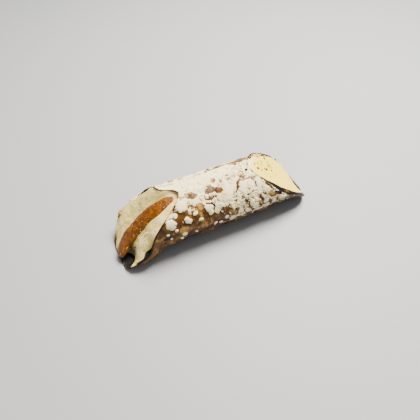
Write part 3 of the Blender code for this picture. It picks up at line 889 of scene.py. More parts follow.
def powder_group():
    """Powder: a grainy mask and height from a smooth cover value."""
    if "Powder" in bpy.data.node_groups:
        return bpy.data.node_groups["Powder"]
    tree, given, result = new_group(
        "Powder",
        [("Vector", "NodeSocketVector", None), ("Cover", "NodeSocketFloat", 0.5)],
        [("Mask", "NodeSocketFloat"), ("Height", "NodeSocketFloat")],
    )
    coarse = grain(tree, given["Vector"], 800.0, 4.0, 0.6)
    fine = grain(tree, given["Vector"], 2600.0, 2.0)
    wobble = maths(tree, "ADD", sway(tree, coarse, 0.62), sway(tree, fine, 0.34))
    coat = span(tree, maths(tree, "ADD", given["Cover"], wobble), 0.12, 0.62)
    tree.links.new(coat, result["Mask"])
    tree.links.new(maths(tree, "MULTIPLY", coat, maths(tree, "ADD", fine, 0.6)), result["Height"])
    return tree


def dough_group():
    """Fried dough: colour and fine height from its darkness, which holds its frying and painted shade.
    """
    if "Fried dough" in bpy.data.node_groups:
        return bpy.data.node_groups["Fried dough"]
    tree, given, result = new_group(
        "Fried dough",
        [
            ("Vector", "NodeSocketVector", None),
            ("Toast_and_shade", "NodeSocketFloat", 0.5),
            ("Light", "NodeSocketColor", (0.5, 0.3, 0.1, 1)),
            ("Middle", "NodeSocketColor", (0.25, 0.1, 0.03, 1)),
            ("Dark", "NodeSocketColor", (0.05, 0.02, 0.01, 1)),
        ],
        [("Color", "NodeSocketColor"), ("Height", "NodeSocketFloat")],
    )
    spots = grain(tree, given["Vector"], 420.0, 5.0, 0.62)
    fine = grain(tree, given["Vector"], 1900.0, 3.0, 0.6)
    shade = maths(tree, "ADD", given["Toast_and_shade"], sway(tree, spots, 0.9))
    shade = maths(tree, "ADD", shade, sway(tree, fine, 0.35))
    pale = blend(tree, span(tree, shade, 0.05, 0.55), given["Light"], given["Middle"])
    tree.links.new(blend(tree, span(tree, shade, 0.55, 1.1), pale, given["Dark"]), result["Color"])
    tree.links.new(maths(tree, "ADD", spots, maths(tree, "MULTIPLY", fine, 0.4)), result["Height"])
    return tree


def new_material(name, **constants):
    """Material with a Principled shader whose constants are set; returns it, tree and shader."""
    m = bpy.data.materials.new(name)
    m.use_nodes = True
    shader = m.node_tree.nodes["Principled BSDF"]
    for key, value in constants.items():
        shader.inputs[key.replace("_", " ")].default_value = value
    return m, m.node_tree, shader


def let_light_in(shader, depth):
    """Sets how far light of each colour travels inside the material."""
    shader.inputs["Subsurface Radius"].default_value = depth
    shader.inputs["Subsurface Scale"].default_value = 1.0


def object_coordinates(tree):
    """Place of each point in the piece's own metres."""
    return add(tree, "ShaderNodeTexCoord").outputs["Object"]


def bump(tree, height, distance, strength=1.0, normal=None):
    """Normal turned by a height, which stands `distance` metres out at 1."""
    inputs = {"Strength": strength, "Distance": distance, "Height": height}
    if normal is not None:
        inputs["Normal"] = normal
    return add(tree, "ShaderNodeBump", inputs).outputs[0]


# ---------------------------------------------------------------- materials


def shell_material():
    """Fried dough, chocolate where the coat reaches the skin, and powder over both."""
    tube = settings("tube")
    m, tree, shader = new_material("Dusted pastry", Roughness=0.6, Specular_IOR_Level=0.18)
    at = object_coordinates(tree)
    tones = {"Light": rgba(tube.light), "Middle": rgba(tube.middle), "Dark": rgba(tube.dark)}
    # The dough's darkness holds painted shade as well as its frying.
    inputs = {"Vector": at, "Toast_and_shade": field(tree, "toast_and_shade"), **tones}
    dough = add(tree, "ShaderNodeGroup", inputs, node_tree=dough_group()).outputs
    inputs = {"Vector": at, "Cover": field(tree, "powder")}
    powder = add(tree, "ShaderNodeGroup", inputs, node_tree=powder_group()).outputs
    chocolate = rgba(settings("chocolate").colour)
    base = blend(tree, field(tree, "coat"), dough["Color"], chocolate)
    base = blend(tree, powder["Mask"], base, rgba(settings("powder").colour))
    tree.links.new(base, shader.inputs["Base Color"])
    tree.links.new(span(tree, powder["Mask"], 0.0, 1.0, 0.42, 0.95), shader.inputs["Roughness"])
    low = bump(tree, dough["Height"], 0.00022, 0.7)
    tree.links.new(bump(tree, powder["Height"], 0.00020, 0.8, low), shader.inputs["Normal"])
    return m


def powder_material():
    """Powdered sugar by itself, a little darker and lighter by the grain."""
    m, tree, shader = new_material("Powdered sugar", Roughness=0.95)
    fine = grain(tree, object_coordinates(tree), 2600.0, 3.0)
    c = settings("powder").colour
    tint = blend(tree, fine, rgba([0.90 * v for v in c]), rgba([min(1.0, 1.05 * v) for v in c]))
    tree.links.new(tint, shader.inputs["Base Color"])
    tree.links.new(bump(tree, fine, 0.0002, 0.8), shader.inputs["Normal"])
    return m


def chocolate_material():
    """Dark chocolate under a film of cream: smeared where `film` is high, flecked where low."""
    m, tree, shader = new_material("Dark chocolate", Roughness=0.5, Specular_IOR_Level=0.3)
    at = object_coordinates(tree)
    coarse = grain(tree, at, 700.0, 4.0, 0.6)
    fine = grain(tree, at, 2400.0, 2.0)
    film = field(tree, "film")
    smear = span(tree, maths(tree, "ADD", film, sway(tree, coarse, 1.3)), 0.42, 0.70)
    flecks = maths(tree, "MULTIPLY", span(tree, fine, 0.60, 0.72), span(tree, film, 0.05, 0.3))
    mask = maths(tree, "MAXIMUM", smear, maths(tree, "MULTIPLY", flecks, 0.6))
    base = blend(tree, mask, rgba(settings("chocolate").colour), rgba(settings("cream").colour))
    tree.links.new(base, shader.inputs["Base Color"])
    tree.links.new(span(tree, mask, 0.0, 1.0, 0.56, 0.5), shader.inputs["Roughness"])
    height = maths(tree, "ADD", coarse, maths(tree, "MULTIPLY", mask, 0.8))
    tree.links.new(bump(tree, height, 0.00025, 0.8), shader.inputs["Normal"])
    return m


def cream_material():
    """Cream in two tones, changed in turn by richness, dust, painted shade, syrup and chocolate stains;
    the chocolate colour also paints shade in the gap behind the near left lip.
    """
    m, tree, shader = new_material(
        "Ricotta cream", Roughness=0.42, Specular_IOR_Level=0.3, Subsurface_Weight=0.2
    )
    let_light_in(shader, CREAM_DEPTH)
    at = object_coordinates(tree)
    wide = grain(tree, at, 210.0, 4.0, 0.6)
    fine = grain(tree, at, 1500.0, 4.0, 0.6)
    red, green, blue = settings("cream").colour
    warm = rgba((red * 0.93, green * 0.88, blue * 0.72))
    pale = rgba((min(1.0, red * 1.1), green * 1.16, blue * 1.7))
    # Painted shade: a darker copy of the cream for the upper left and the far lower edge of the left
    # face.
    shaded = rgba((red * 0.42, green * 0.46, blue * 0.42))
    tint = blend(tree, span(tree, wide, 0.32, 0.68), warm, pale)
    tint = blend(tree, field(tree, "rich"), tint, rgba(settings("cream").rich))
    tint = blend(tree, field(tree, "dust"), tint, rgba(settings("powder").colour))
    tint = blend(tree, maths(tree, "MULTIPLY", field(tree, "painted_shade"), 0.7), tint, shaded)
    tint = blend(tree, maths(tree, "MULTIPLY", field(tree, "syrup"), 0.35), tint, rgba(SYRUP))
    # Chocolate stains, and painted shade in the gap behind the near left lip, darken the cream to near
    # black.
    stain_and_shade = field(tree, "stain_and_shade")
    grainy = maths(tree, "ADD", stain_and_shade, sway(tree, fine, 0.6))
    grainy = maths(tree, "MULTIPLY", grainy, span(tree, stain_and_shade, 0.0, 0.15), clamp=True)
    tree.links.new(blend(tree, grainy, tint, rgba(STAIN_AND_SHADE)), shader.inputs["Base Color"])
    tree.links.new(span(tree, fine, 0.3, 0.7, 0.36, 0.52), shader.inputs["Roughness"])
    tree.links.new(bump(tree, fine, 0.00025, 0.8), shader.inputs["Normal"])
    return m


def peel_material():
    """Glossy peel in two tones, paler where fine sugar clings to it."""
    peel = settings("peel")
    m, tree, shader = new_material(
        "Candied peel", Roughness=0.35, Specular_IOR_Level=0.22, Subsurface_Weight=0.3,
        Coat_Weight=0.08, Coat_Roughness=0.12,
    )
    let_light_in(shader, PEEL_DEPTH)
    at = object_coordinates(tree)
    coarse = grain(tree, at, 380.0, 4.0, 0.6)
    fine = grain(tree, at, 1500.0, 3.0, 0.6)
    base = blend(tree, span(tree, coarse, 0.35, 0.65), rgba(peel.deep), rgba(peel.colour))
    sugar = span(tree, maths(tree, "ADD", fine, maths(tree, "MULTIPLY", coarse, 0.3)), 0.74, 0.86)
    base = blend(tree, maths(tree, "MULTIPLY", sugar, 0.4), base, rgba(SUGARY_PEEL))
    tree.links.new(base, shader.inputs["Base Color"])
    tree.links.new(span(tree, fine, 0.35, 0.65, 0.22, 0.45), shader.inputs["Roughness"])
    tree.links.new(bump(tree, fine, 0.0003, 0.9), shader.inputs["Normal"])
    return m


def crystal_material():
    """Sugar crystals, some clear and brown with syrup and some white."""
    m, tree, shader = new_material("Sugar crystals", Roughness=0.3, Subsurface_Weight=0.2)
    let_light_in(shader, CRYSTAL_DEPTH)
    fine = grain(tree, object_coordinates(tree), 900.0)
    base = blend(tree, fine, rgba(CLEAR_CRYSTAL), rgba(WHITE_CRYSTAL))
    tree.links.new(base, shader.inputs["Base Color"])
    return m


def curd_material():
    """Curds, between the cream's colour and a paler one."""
    m, tree, shader = new_material("Curds", Roughness=0.45, Subsurface_Weight=0.3)
    let_light_in(shader, CREAM_DEPTH)
    fine = grain(tree, object_coordinates(tree), 1500.0)
    base = blend(tree, fine, rgba(settings("cream").colour), rgba(PALE_CURD))
    tree.links.new(base, shader.inputs["Base Color"])
    return m


def crumb_material():
    """Crumbs from cream-coated through tan and brown to dark, by `shade`."""
    tube = settings("tube")
    m, tree, shader = new_material("Crumbs", Roughness=0.6)
    fine = grain(tree, object_coordinates(tree), 900.0, 4.0)
    shade = maths(tree, "ADD", field(tree, "shade"), sway(tree, fine, 0.5))
    base = blend(tree, span(tree, shade, -0.15, 0.1), rgba(CREAMY_CRUMB), rgba(TAN_CRUMB))
    base = blend(tree, span(tree, shade, 0.1, 0.5), base, rgba(tube.middle))
    base = blend(tree, span(tree, shade, 0.5, 1.0), base, rgba(tube.dark))
    tree.links.new(base, shader.inputs["Base Color"])
    tree.links.new(bump(tree, fine, 0.0002, 0.8), shader.inputs["Normal"])
    return m


# ---------------------------------------------------------------- pieces


def rim_to_rim(first, last, section, outer_rows, inner_rows):
    """Rows of a closed skin: round the left rim, along outside, round the right rim, back inside.

    `section` is the shape of both rims; the rows are shares of the way along each side.  Returns
    each row's places along the tube and its share of the depth, 0 outside and 1 inside.
    """
    into, share = np.array(section).T
    out, back = np.array(outer_rows)[:, None], np.array(inner_rows)[:, None]
    x = [
        first + into[:-1, None],
        (first + into[-1]) * (1 - out) + (last - into[-1]) * out,
        last - into[::-1][1:, None],
        (last - into[0]) * (1 - back) + (first + into[0]) * back,
    ]
    share = [share[:-1], np.zeros(len(out)), share[::-1][1:], np.ones(len(back))]
    return np.concatenate(x), np.concatenate(share)[:, None]


def tube_grid():
    """The tube's skin as whole arrays: where its points are and what lies there.

    x, angle and share place a point and edge is its distance to the nearer rim.  Masks: left, its
    left half; inside, the inner skin; broken and crevice, where the right rim's outer layer has
    broken back and the groove at its step, drawn dark as painted shade; bit, the one lump left
    on that rim; under, painted shade below the right tip; far, the far left rim; top, the dusted top
    of the left rim.  The columns lie closest together near the top of the tube.
    """
    u = np.arange(304) / 304
    angle = 360 * u - 13 * np.sin(2 * np.pi * (u - 0.29))
    first, last = dough_rims(angle)
    x, share = rim_to_rim(first, last, RIM_SECTION, np.linspace(0, 1, 282), TUBE_INNER_ROWS)
    angle = np.broadcast_to(angle, x.shape)
    p = on_cylinder(x, angle)
    g = SimpleNamespace(x=x, angle=angle, share=share, p=p, left=x < 0)
    step = last - 2.7 * bevel(angle) + 0.35 * noise(p, 2.0, 71)
    g.edge = np.minimum(x - first, last - x)
    g.inside = smooth(share / 0.1)
    g.broken = smooth((x - step) / 0.4) * smooth(bevel(angle) / 0.15)
    g.crevice = np.exp(-(((x - step - 0.5) / 0.6) ** 2)) * smooth(bevel(angle) / 0.25)
    g.bit = smooth((x - last + 2.4) / 0.9) * hump(angle, 171, 7)
    g.under = smooth((x - 38) / 8) * smooth((angle - 186) / 6) * smooth((250 - angle) / 15)
    g.far = far_left(angle) * g.left
    g.top = hump(angle, 78, 60) * (0.62 + 0.3 * noise(p, 1.6, 92))
    return g


def tube_points(g, radius):
    """Points of the skin: the dusted radius, cut back at the broken rim, then the inner one."""
    thick = wall(g.x, g.angle)
    outer = radius - (0.50 * g.broken + 0.45 * g.crevice) * (1 - g.share)
    inner = smooth_radius(g.x, g.angle) - thick + 0.08 * noise(g.p, 2.5, 72)
    floor = np.where(g.share < 0.5, 0.0, np.maximum(thick * g.share - 0.4, 0.0))
    return tube_point(g.x, g.angle, outer * (1 - g.share) + inner * g.share, floor)


def tube_toast_and_shade(g, skin):
    """How dark the dough looks, from 0 (pale) to 1 (dark): its frying together with painted shade.

    Patches of noise, paler on blisters and darker at the rims and in rubbed strokes.  Painted shade
    darkens the creases, the pits, the right rim's crevice, the right rim by the chocolate and under
    the tip, and the lower near side and underside; paler again on the far left rim and at its top.
    """
    x, angle = g.x, g.angle
    # Painted shade: the creases round the blisters are drawn darker.
    toast_and_shade = 0.52 + 0.34 * rough(g.p, 6.0, 4, 81) + 0.15 * skin.ring
    toast_and_shade = toast_and_shade - 0.34 * smooth(skin.relief / 0.9) - 0.25 * g.bit
    # The rims are fried darker; the pits are drawn dark as painted shade, and so is the right rim's
    # crevice in the rubbed strokes.
    toast_and_shade = toast_and_shade + 0.35 * (1 - smooth(g.edge / 1.6)) + 0.9 * skin.dips + skin.darker
    # Painted shade: the groove at the broken right rim's step is drawn dark.
    toast_and_shade = toast_and_shade + 0.85 * g.crevice - 0.15 * g.broken * (1 - g.crevice) + 0.25 * g.share
    # The right rim is fried dark at its edge; its extra darkening by the near chocolate and under the
    # tip is painted shade.
    dark_rim = (band(angle) + hump(angle, 256, 46)) * (x > 0) * (1 - g.bit)
    toast_and_shade = toast_and_shade + 0.9 * dark_rim * (1 - smooth((g.edge - 0.2) / 0.9))
    # Painted shade down the lower near side and on the underside.
    toast_and_shade = toast_and_shade + 0.42 * smooth((angle - 176) / 16) * (angle < 300) * smooth((x + 34) / 10)
    # Painted shade under the right tip.
    toast_and_shade = toast_and_shade + 0.75 * g.under * (1 + 0.5 * noise(g.p, 3.0, 35))
    return toast_and_shade - 0.5 * g.far * g.inside - 0.3 * g.top * g.left


def tube_cover(g, skin):
    """Powder over the whole skin: less inside, in pits and at the rims, less low on the right end
    and under its tip as painted shade, and more where it was caught, on the right tip, on the far
    inner skin, in specks at the left tip and on the top.
    """
    x, angle, p = g.x, g.angle, g.p
    cover = skin.cover - 0.9 * g.share - 1.2 * skin.dips - 0.75 * g.crevice + 0.12 * g.broken
    cover = cover - 0.5 * (1 - smooth(g.edge / 0.5)) - 0.5 * g.bit
    tip = smooth((x - 56) / 4) * smooth((199 - angle) / 7) * (angle > 180)
    cover = np.maximum(cover, tip * (0.60 + 0.30 * rough(p, 2.2, 2, 33)) * (1 - g.share))
    # Painted shade: powder is taken off low on the right end and under the right tip.
    cover = cover - 0.9 * smooth((x - 40) / 3) * smooth((62 - x) / 4) * smooth((angle - 179) / 5)
    cover = cover - 0.6 * g.under
    dusted = hump(angle, 335, 62) * (x > 0) * g.inside
    cover = cover + dusted * (0.75 + 0.5 * rough(p, 2.2, 2, 37))
    cover = cover + 0.9 * g.far * g.inside * (0.5 + rough(p, 2.0, 2, 34))
    speckle = hump(angle, 234, 15) * smooth((-63 - x) / 2) * g.inside
    cover = cover + 0.9 * speckle * (0.2 + rough(p, 1.0, 2, 36))
    return cover + 0.75 * g.top * g.left * (g.share < 0.95)


def tube_coat(g):
    """Chocolate that has run onto the rims: from the inner skin outwards, with a ragged line."""
    far = np.maximum(g.far, hump(g.angle, 292, 24) * (g.x < -62))
    broken_line = 1.4 * hump(g.angle, 43, 14)
    broken_line = broken_line + 0.5 * hump(g.angle, 60, 24) * noise(g.p, 1.4, 93)
    left = smooth((g.share - 0.15 - 0.8 * far - g.top - broken_line) / 0.3)
    right = smooth((g.share - 0.2) / 0.3) * smooth(0.6 + 1.5 * noise(g.p, 4.0, 91))
    return np.where(g.left, left, right)


class CANNOLO_OT_shell(bpy.types.Operator):
    """Fried tube: one closed skin from rim to rim outside, round the rims and back inside.

    Row by row it runs along the tube; each row closes round it.
    """

    bl_idname = "cannolo.shell"
    bl_label = "Pastry tube"

    def execute(self, context):
        g = tube_grid()
        radius, skin = outer_skin(g.x, g.angle)
        points = tube_points(g, radius).reshape(-1, 3)
        fields = {
            "powder": tube_cover(g, skin), "toast_and_shade": tube_toast_and_shade(g, skin), "coat": tube_coat(g),
        }
        piece = make_mesh("pastry_tube", points, *ring_faces(*g.x.shape), fields)
        settle(piece, "fried_shell", shell_material(), "shell")
        return {"FINISHED"}


class CANNOLO_OT_powder(bpy.types.Operator):
    """Small lumps of powdered sugar caught on the dough: uneven flattened balls.

    They lie at random between the rims, most where the powder thins out.
    """

    bl_idname = "cannolo.powder"
    bl_label = "Powder lumps"

    def execute(self, context):
        rng = np.random.default_rng(5)
        wanted = settings("powder").lumps
        tried = wanted * 6
        angle = rng.uniform(15, 205, tried)
        w = rng.uniform(0.02, 0.98, tried)
        first, last = left_rim(angle) + 0.3, right_rim(angle) - coat_width(angle) - 0.7
        x = first * (1 - w) + last * w
        radius, skin = outer_skin(x, angle)
        chance = 0.25 + 0.75 * smooth((1.0 - skin.cover) / 0.6)
        keep = (skin.cover > 0.25) & (skin.cover < 1.0) & (rng.random(tried) < chance)
        keep &= skin.dips < 0.1
        x, angle, radius = (v[keep][:wanted] for v in (x, angle, radius))
        count = len(x)
        size = 0.16 + 0.42 * rng.random(count) ** 3
        centres = tube_point(x, angle, radius - 0.1 * size, 0.3)
        along = np.tile([1.0, 0, 0], (count, 1))
        out = on_cylinder(0 * x, angle) / RADIUS
        frames = np.stack([along, np.cross(out, along), out], 1)
        spread = [rng.uniform(low, high, count) for low, high in ((0.8, 1.3), (0.8, 1.3), (0.4, 0.8))]
        scales = size[:, None] * np.stack(spread, -1)
        piece = copies("powder_lumps", *pebble(4, 8, 3, 0.4), centres, frames, scales)
        settle(piece, "fried_shell", powder_material())
        return {"FINISHED"}


def lining_rims(angle):
    """Where the chocolate starts at the left and ends at the right.

    It follows the dough's ragged rims, keeps in from the left one where cream covers it, and
    stands out past the right one as far as coat_width says.
    """
    first, last = dough_rims(angle)
    p = on_cylinder(0 * angle, angle)
    start = first - 0.10 + 0.12 * noise(p, 2.0, 96) + 2.0 * far_left(angle)
    start = start + 3.0 * hump(angle, 292, 24) + 0.3 * hump(angle, 75, 60)
    start = start + 1.3 * hump(angle, 44, 14) * (0.8 + 0.5 * noise(p, 1.5, 94))
    patchy = smooth(0.5 + 1.5 * noise(p, 5.0, 95))
    back = (1 - band(angle)) * (1 - hump(angle, 256, 46))
    return start, last - (0.5 + 0.4 * patchy) * back + coat_width(angle)


def cream_film(x, angle):
    """Cream smeared on the chocolate: over the bare left tip, at its near edge, at the top right."""
    at_tip = smooth((-55 - x) / 6)
    film = at_tip * hump(angle, 241, 34)
    film = film * (0.04 + 0.22 * smooth((x + 62.5) / 4) + 0.32 * smooth((-65.6 - x) / 1.4))
    film = film * smooth((angle - 220) / 5) + 0.9 * at_tip * hump(angle, 214, 7)
    film = film + 0.45 * smooth((-60 - x) / 4) * hump(angle, 256, 8)
    return film + 0.42 * smooth((x - 20) / 4) * smooth((134 - angle) / 14) * (angle > 80)


class CANNOLO_OT_lining(bpy.types.Operator):
    """Chocolate coat: a thin closed skin inside the dough that shows at the rims and the bare tip.

    Its rows are closest where it shows.  It is sunk into the dough outside and stands in from it,
    uneven with noise, inside.
    """

    bl_idname = "cannolo.lining"
    bl_label = "Chocolate lining"

    def execute(self, context):
        angle = 360 * np.arange(320) / 320
        start, finish = lining_rims(angle)
        runs = np.linspace(0, 0.18, 26), np.linspace(0.20, 0.64, 12), np.linspace(0.66, 1, 60)
        inner_rows = np.concatenate(runs)[1:-1]
        x, share = rim_to_rim(start, finish, LINING_SECTION, LINING_OUTER_ROWS, inner_rows)
        angle = np.broadcast_to(angle, x.shape)
        thick = wall(x, angle)
        inside = thick + mm(settings("chocolate").thickness)
        inside = inside + 0.10 * rough(on_cylinder(x, angle), 1.6, 2, 97)
        inside = inside + 0.5 * bevel(angle) * smooth((x - 30) / 5)
        depth = (0.55 * thick + lap_drop(x, angle)) * (1 - share) + inside * share
        points = tube_point(x, angle, smooth_radius(x, angle) - depth, np.maximum(depth - 0.4, 0.3))
        points = points.reshape(-1, 3)
        fields = {"film": cream_film(x, angle)}
        piece = make_mesh("chocolate_coat", points, *ring_faces(*x.shape), fields)
        settle(piece, "dark_chocolate", chocolate_material(), "chocolate_lining")
        return {"FINISHED"}


def cream_grid():
    """The cream as rings from the middle of its left face to that of its right, then the middles.

    With each point go its angle, its depth on the left face, how much it belongs to the left and
    to the right face, whether it is behind the left face's edge, and how near the peel it lies.
    """
    columns, cap, side_rows = 360, 84, 8
    angle = 360 * np.arange(columns) / columns
    depth = (np.arange(1, cap + 1) / cap) ** 0.85
    x_left, r_left = left_cream(depth[:, None], angle)
    x_right, r_right = right_cream(depth[::-1, None], angle)
    w = (np.arange(1, side_rows + 1) / (side_rows + 1))[:, None]
    x_side = x_left[-1] + (x_right[0] - x_left[-1]) * w
    x = np.concatenate([x_left, x_side, x_right])
    radius = np.concatenate([r_left, cream_radius(x_side, angle) - 0.25, r_right])
    points = tube_point(x, np.broadcast_to(angle, x.shape), radius, 0.9).reshape(-1, 3)
    middle = np.array([1e-6]), np.array([0.0])
    poles = [(face(*middle)[0][0], 0.0, mm(settings("tube").axis)) for face in (left_cream, right_cream)]

    def spread(left, side, right, poles):
        """Each point's value from those of the rings and of the two middles."""
        rings = np.concatenate([left, np.full(side_rows, side), right])
        return np.concatenate([np.repeat(rings, columns), poles])

    none = np.zeros(cap)
    on_face = 1 - smooth((depth - 0.9) / 0.1)
    c = SimpleNamespace(points=np.concatenate([points, poles]), shape=x.shape)
    c.angle = np.concatenate([np.tile(angle, len(x)), [0.0, 0.0]])
    c.depth = spread(depth, 0.0, none, [0.0, 0.0])
    c.on_left = spread(on_face, 0.0, none, [1.0, 0.0])
    c.on_right = spread(none, 0.0, on_face[::-1], [0.0, 1.0])
    c.behind = spread(depth > 0.885, 1.0, none, [0.0, 0.0])
    line = peel_middle(np.linspace(0, 1, 70))[0]
    c.near = np.min(np.linalg.norm(c.points[:, None] - line, axis=-1), axis=1)
    return c


def waved_faces(c):
    """Points of the cream with each face moved outwards by waves and fine streaks.

    The left face is also pressed down under the peel and pushed up beside it.
    """
    waves = 0.42 * rough(c.points, 9.0, 2, 101) + 0.15 * rough(c.points, 2.6, 3, 104)
    streaks = 0.10 * noise(c.points * np.array([0.35, 1.6, 0.35]), 1.3, 108)
    bank = 0.45 * np.exp(-(((c.near - 5.4) / 1.1) ** 2))
    trough = 0.9 * np.exp(-((c.near / 4.2) ** 4))
    left = c.on_left * (waves + streaks + (bank - trough))
    right = c.on_right * (0.5 * waves + 0.6 * streaks - 0.1)
    return c.points + np.outer(left, LEFT_OUTWARD) + np.outer(right, RIGHT_OUTWARD)


def cream_marks(c):
    """What changes the cream's colour: stains of chocolate, syrup, dust, richness, and painted shade on
    the left face and in the gap behind the near left lip.
    """
    x, y, z = c.points.T
    up = z - mm(settings("tube").axis)
    turned = np.degrees(np.arctan2(up, y))
    spot = np.linalg.norm((c.points - np.array(STAIN_AT)) / STAIN_SIZE, axis=1)
    stain_and_shade = 0.92 * c.on_left * (1 - smooth((spot - 0.35) / 0.85))
    # Painted shade in the gap behind the near left lip: the cream's hidden side there is drawn near
    # black.
    stain_and_shade = np.maximum(stain_and_shade, 1.4 * c.behind * hump(turned, 202, 27) * (x < -30))
    by_tip = smooth((c.angle - 222) / 8) * smooth((274 - c.angle) / 8)
    by_tip = smooth((c.depth - 0.56) / 0.24) * by_tip * (1 + 0.3 * noise(c.points, 2.0, 124))
    stain_and_shade = np.maximum(stain_and_shade, 0.85 * by_tip)
    syrup = c.on_left * np.exp(-((np.clip(c.near - 4.6, 0, None) / 1.3) ** 2))
    syrup = syrup * smooth(0.45 + noise(c.points, 5.0, 121))
    out = np.hypot(up, y) + 1.2 * noise(c.points, 2.4, 122)
    dust = 0.9 * (x > 0) * hump(turned, 72, 48) * smooth((out - 14.2) / 2.6)
    rich = c.on_right * (0.9 + 0.1 * noise(c.points, 3.0, 123))
    # Painted shade on the upper left of the left face and along its far lower edge.
    upper = 0.62 * smooth((z + 0.3 * (y + 5) - 15) / 16) * smooth((92 - turned) / 14)
    far = 0.9 * smooth((y - 11) / 7) * smooth((24 - z) / 10)
    painted_shade = c.on_left * np.maximum(upper, far)
    return {"stain_and_shade": stain_and_shade, "syrup": syrup, "dust": dust, "rich": rich, "painted_shade": painted_shade}


class CANNOLO_OT_cream(bpy.types.Operator):
    """Cream: a domed face at each end and the plain side between them, closed at both middles."""

    bl_idname = "cannolo.cream"
    bl_label = "Ricotta cream"

    def execute(self, context):
        c = cream_grid()
        c.points = waved_faces(c)
        loops, sizes = ball_faces(*c.shape)
        piece = make_mesh("ricotta_cream", c.points, loops, sizes, cream_marks(c))
        settle(piece, "ricotta_cream", cream_material(), "filling")
        return {"FINISHED"}


class CANNOLO_OT_peel(bpy.types.Operator):
    """Candied peel: a flat oval section swept along a bent line, narrower at its upper end.

    The section is (sign(cos) |cos|^0.7 * width, sign(sin) |sin|^0.7 * thickness); both shrink to
    nothing at the ends.  Sugar crystals lie at random on its upper side.
    """

    bl_idname = "cannolo.peel"
    bl_label = "Candied peel"

    def surface(self, u, v):
        """Point and outward direction for the fractions u round and v along."""
        peel = settings("peel")
        middle, _, sideways, outward = peel_middle(v)
        end = np.sqrt(np.clip(1 - np.abs(2 * v - 1) ** 14, 0, 1))
        wave = 1 + 0.04 * np.sin(19.0 * v + 0.6) + 0.03 * np.sin(37.0 * v)
        steps = np.linspace(0, 1, len(PEEL_WIDTH))
        width = hermite(steps, PEEL_WIDTH, v) * end * wave
        thick = mm(peel.thickness) / 2 * (0.6 + 0.4 * smooth(v / 0.3)) * end
        c, s = np.cos(2 * np.pi * u), np.sin(2 * np.pi * u)
        across = np.sign(c) * np.abs(c) ** 0.7 * width
        rise = np.sign(s) * np.abs(s) ** 0.7 * thick
        point = middle + sideways * across[..., None] + outward * rise[..., None]
        away = unit(sideways * (c * thick)[..., None] + outward * (s * width)[..., None] + 1e-6)
        return point, away

    def execute(self, context):
        rows, columns = 260, 72
        v = (np.arange(rows) + 0.5) / rows
        v = v - 0.5 * np.sin(2 * np.pi * v) / (2 * np.pi)
        u = np.arange(columns) / columns
        v, u = np.meshgrid(v, u, indexing="ij")
        points, away = self.surface(u, v)
        lumps = 0.16 * rough(points, 3.4, 2, 111) + 0.10 * rough(points, 1.1, 2, 115)
        inset = 1 - np.abs(2 * v - 1) ** 20
        points = points + away * ((lumps - 0.08) * inset)[..., None]
        poles = [peel_middle(np.array([t]))[0][0] for t in (0.0, 1.0)]
        points = np.concatenate([points.reshape(-1, 3), poles])
        loops, sizes = ball_faces(rows, columns)
        piece = make_mesh("candied_peel", points, loops, sizes)
        settle(piece, "candied_peel", peel_material(), "orange_peel")

        rng = np.random.default_rng(7)
        count = settings("peel").crystals
        v = rng.uniform(0.03, 0.97, count)
        u = rng.uniform(0.03, 0.47, count)
        centres, away = self.surface(u, v)
        size = 0.10 + 0.20 * rng.random(count) ** 2
        scales = size[:, None] * rng.uniform(0.7, 1.3, (count, 3))
        frames = random_frames(rng, count)
        centres = centres + 0.04 * away
        piece = copies("peel_sugar", *pebble(3, 6, 9, 0.3), centres, frames, scales)
        settle(piece, "candied_peel", crystal_material())
        return {"FINISHED"}


class CANNOLO_OT_crumbs(bpy.types.Operator):
    """Brown bits of dough: crumbs on the cream's ends and thicker lumps along the rims.

    Besides the listed ones, small crumbs fall at random on the upper part of the right end.
    """

    bl_idname = "cannolo.crumbs"
    bl_label = "Crumbs"

    def execute(self, context):
        rng = np.random.default_rng(19)
        count = settings("cream").crumbs
        depth, angle, size, shade = np.array(RIGHT_CRUMBS).T
        y = rng.normal(2.0, 5.0, count)
        up = 12.0 - np.abs(rng.normal(0, 6.0, count))
        angle = np.concatenate([angle, np.degrees(np.arctan2(up, y))])
        depth = np.concatenate([depth, np.clip(np.hypot(y, up) / 17.5, 0, 0.93)])
        x, radius = right_cream(depth, angle)
        right = tube_point(x + 0.1, angle, radius, 0.5)
        size = np.concatenate([size, 0.20 + 0.32 * rng.random(count) ** 2])
        shade = np.concatenate([shade, rng.random(count) * 0.8])

        depth, angle, left_size, left_shade = np.array(LEFT_CRUMBS).T
        x, radius = left_cream(depth, angle)
        left = tube_point(x - 0.2, angle, radius, 0.5 + 1.1 * left_size)
        x, angle, rim_size, rim_shade = np.array(RIM_BITS).T
        rims = tube_point(x, angle, 19.8 - rim_size, 1.3 * rim_size)
        centres = np.concatenate([right, left, rims])
        size = np.concatenate([size, left_size, rim_size])
        shade = np.concatenate([shade, left_shade, rim_shade])
        centres[:, 0] = np.maximum(centres[:, 0], 1.75 * size - 68.5)
        frames = random_frames(rng, len(centres))
        scales = size[:, None] * rng.uniform(0.5, 1.1, (len(centres), 3))
        shape = pebble(11, 18, 4, 0.4)
        piece = copies("dough_crumbs", *shape, centres, frames, scales, {"shade": shade})
        settle(piece, "fried_shell", crumb_material())
        return {"FINISHED"}


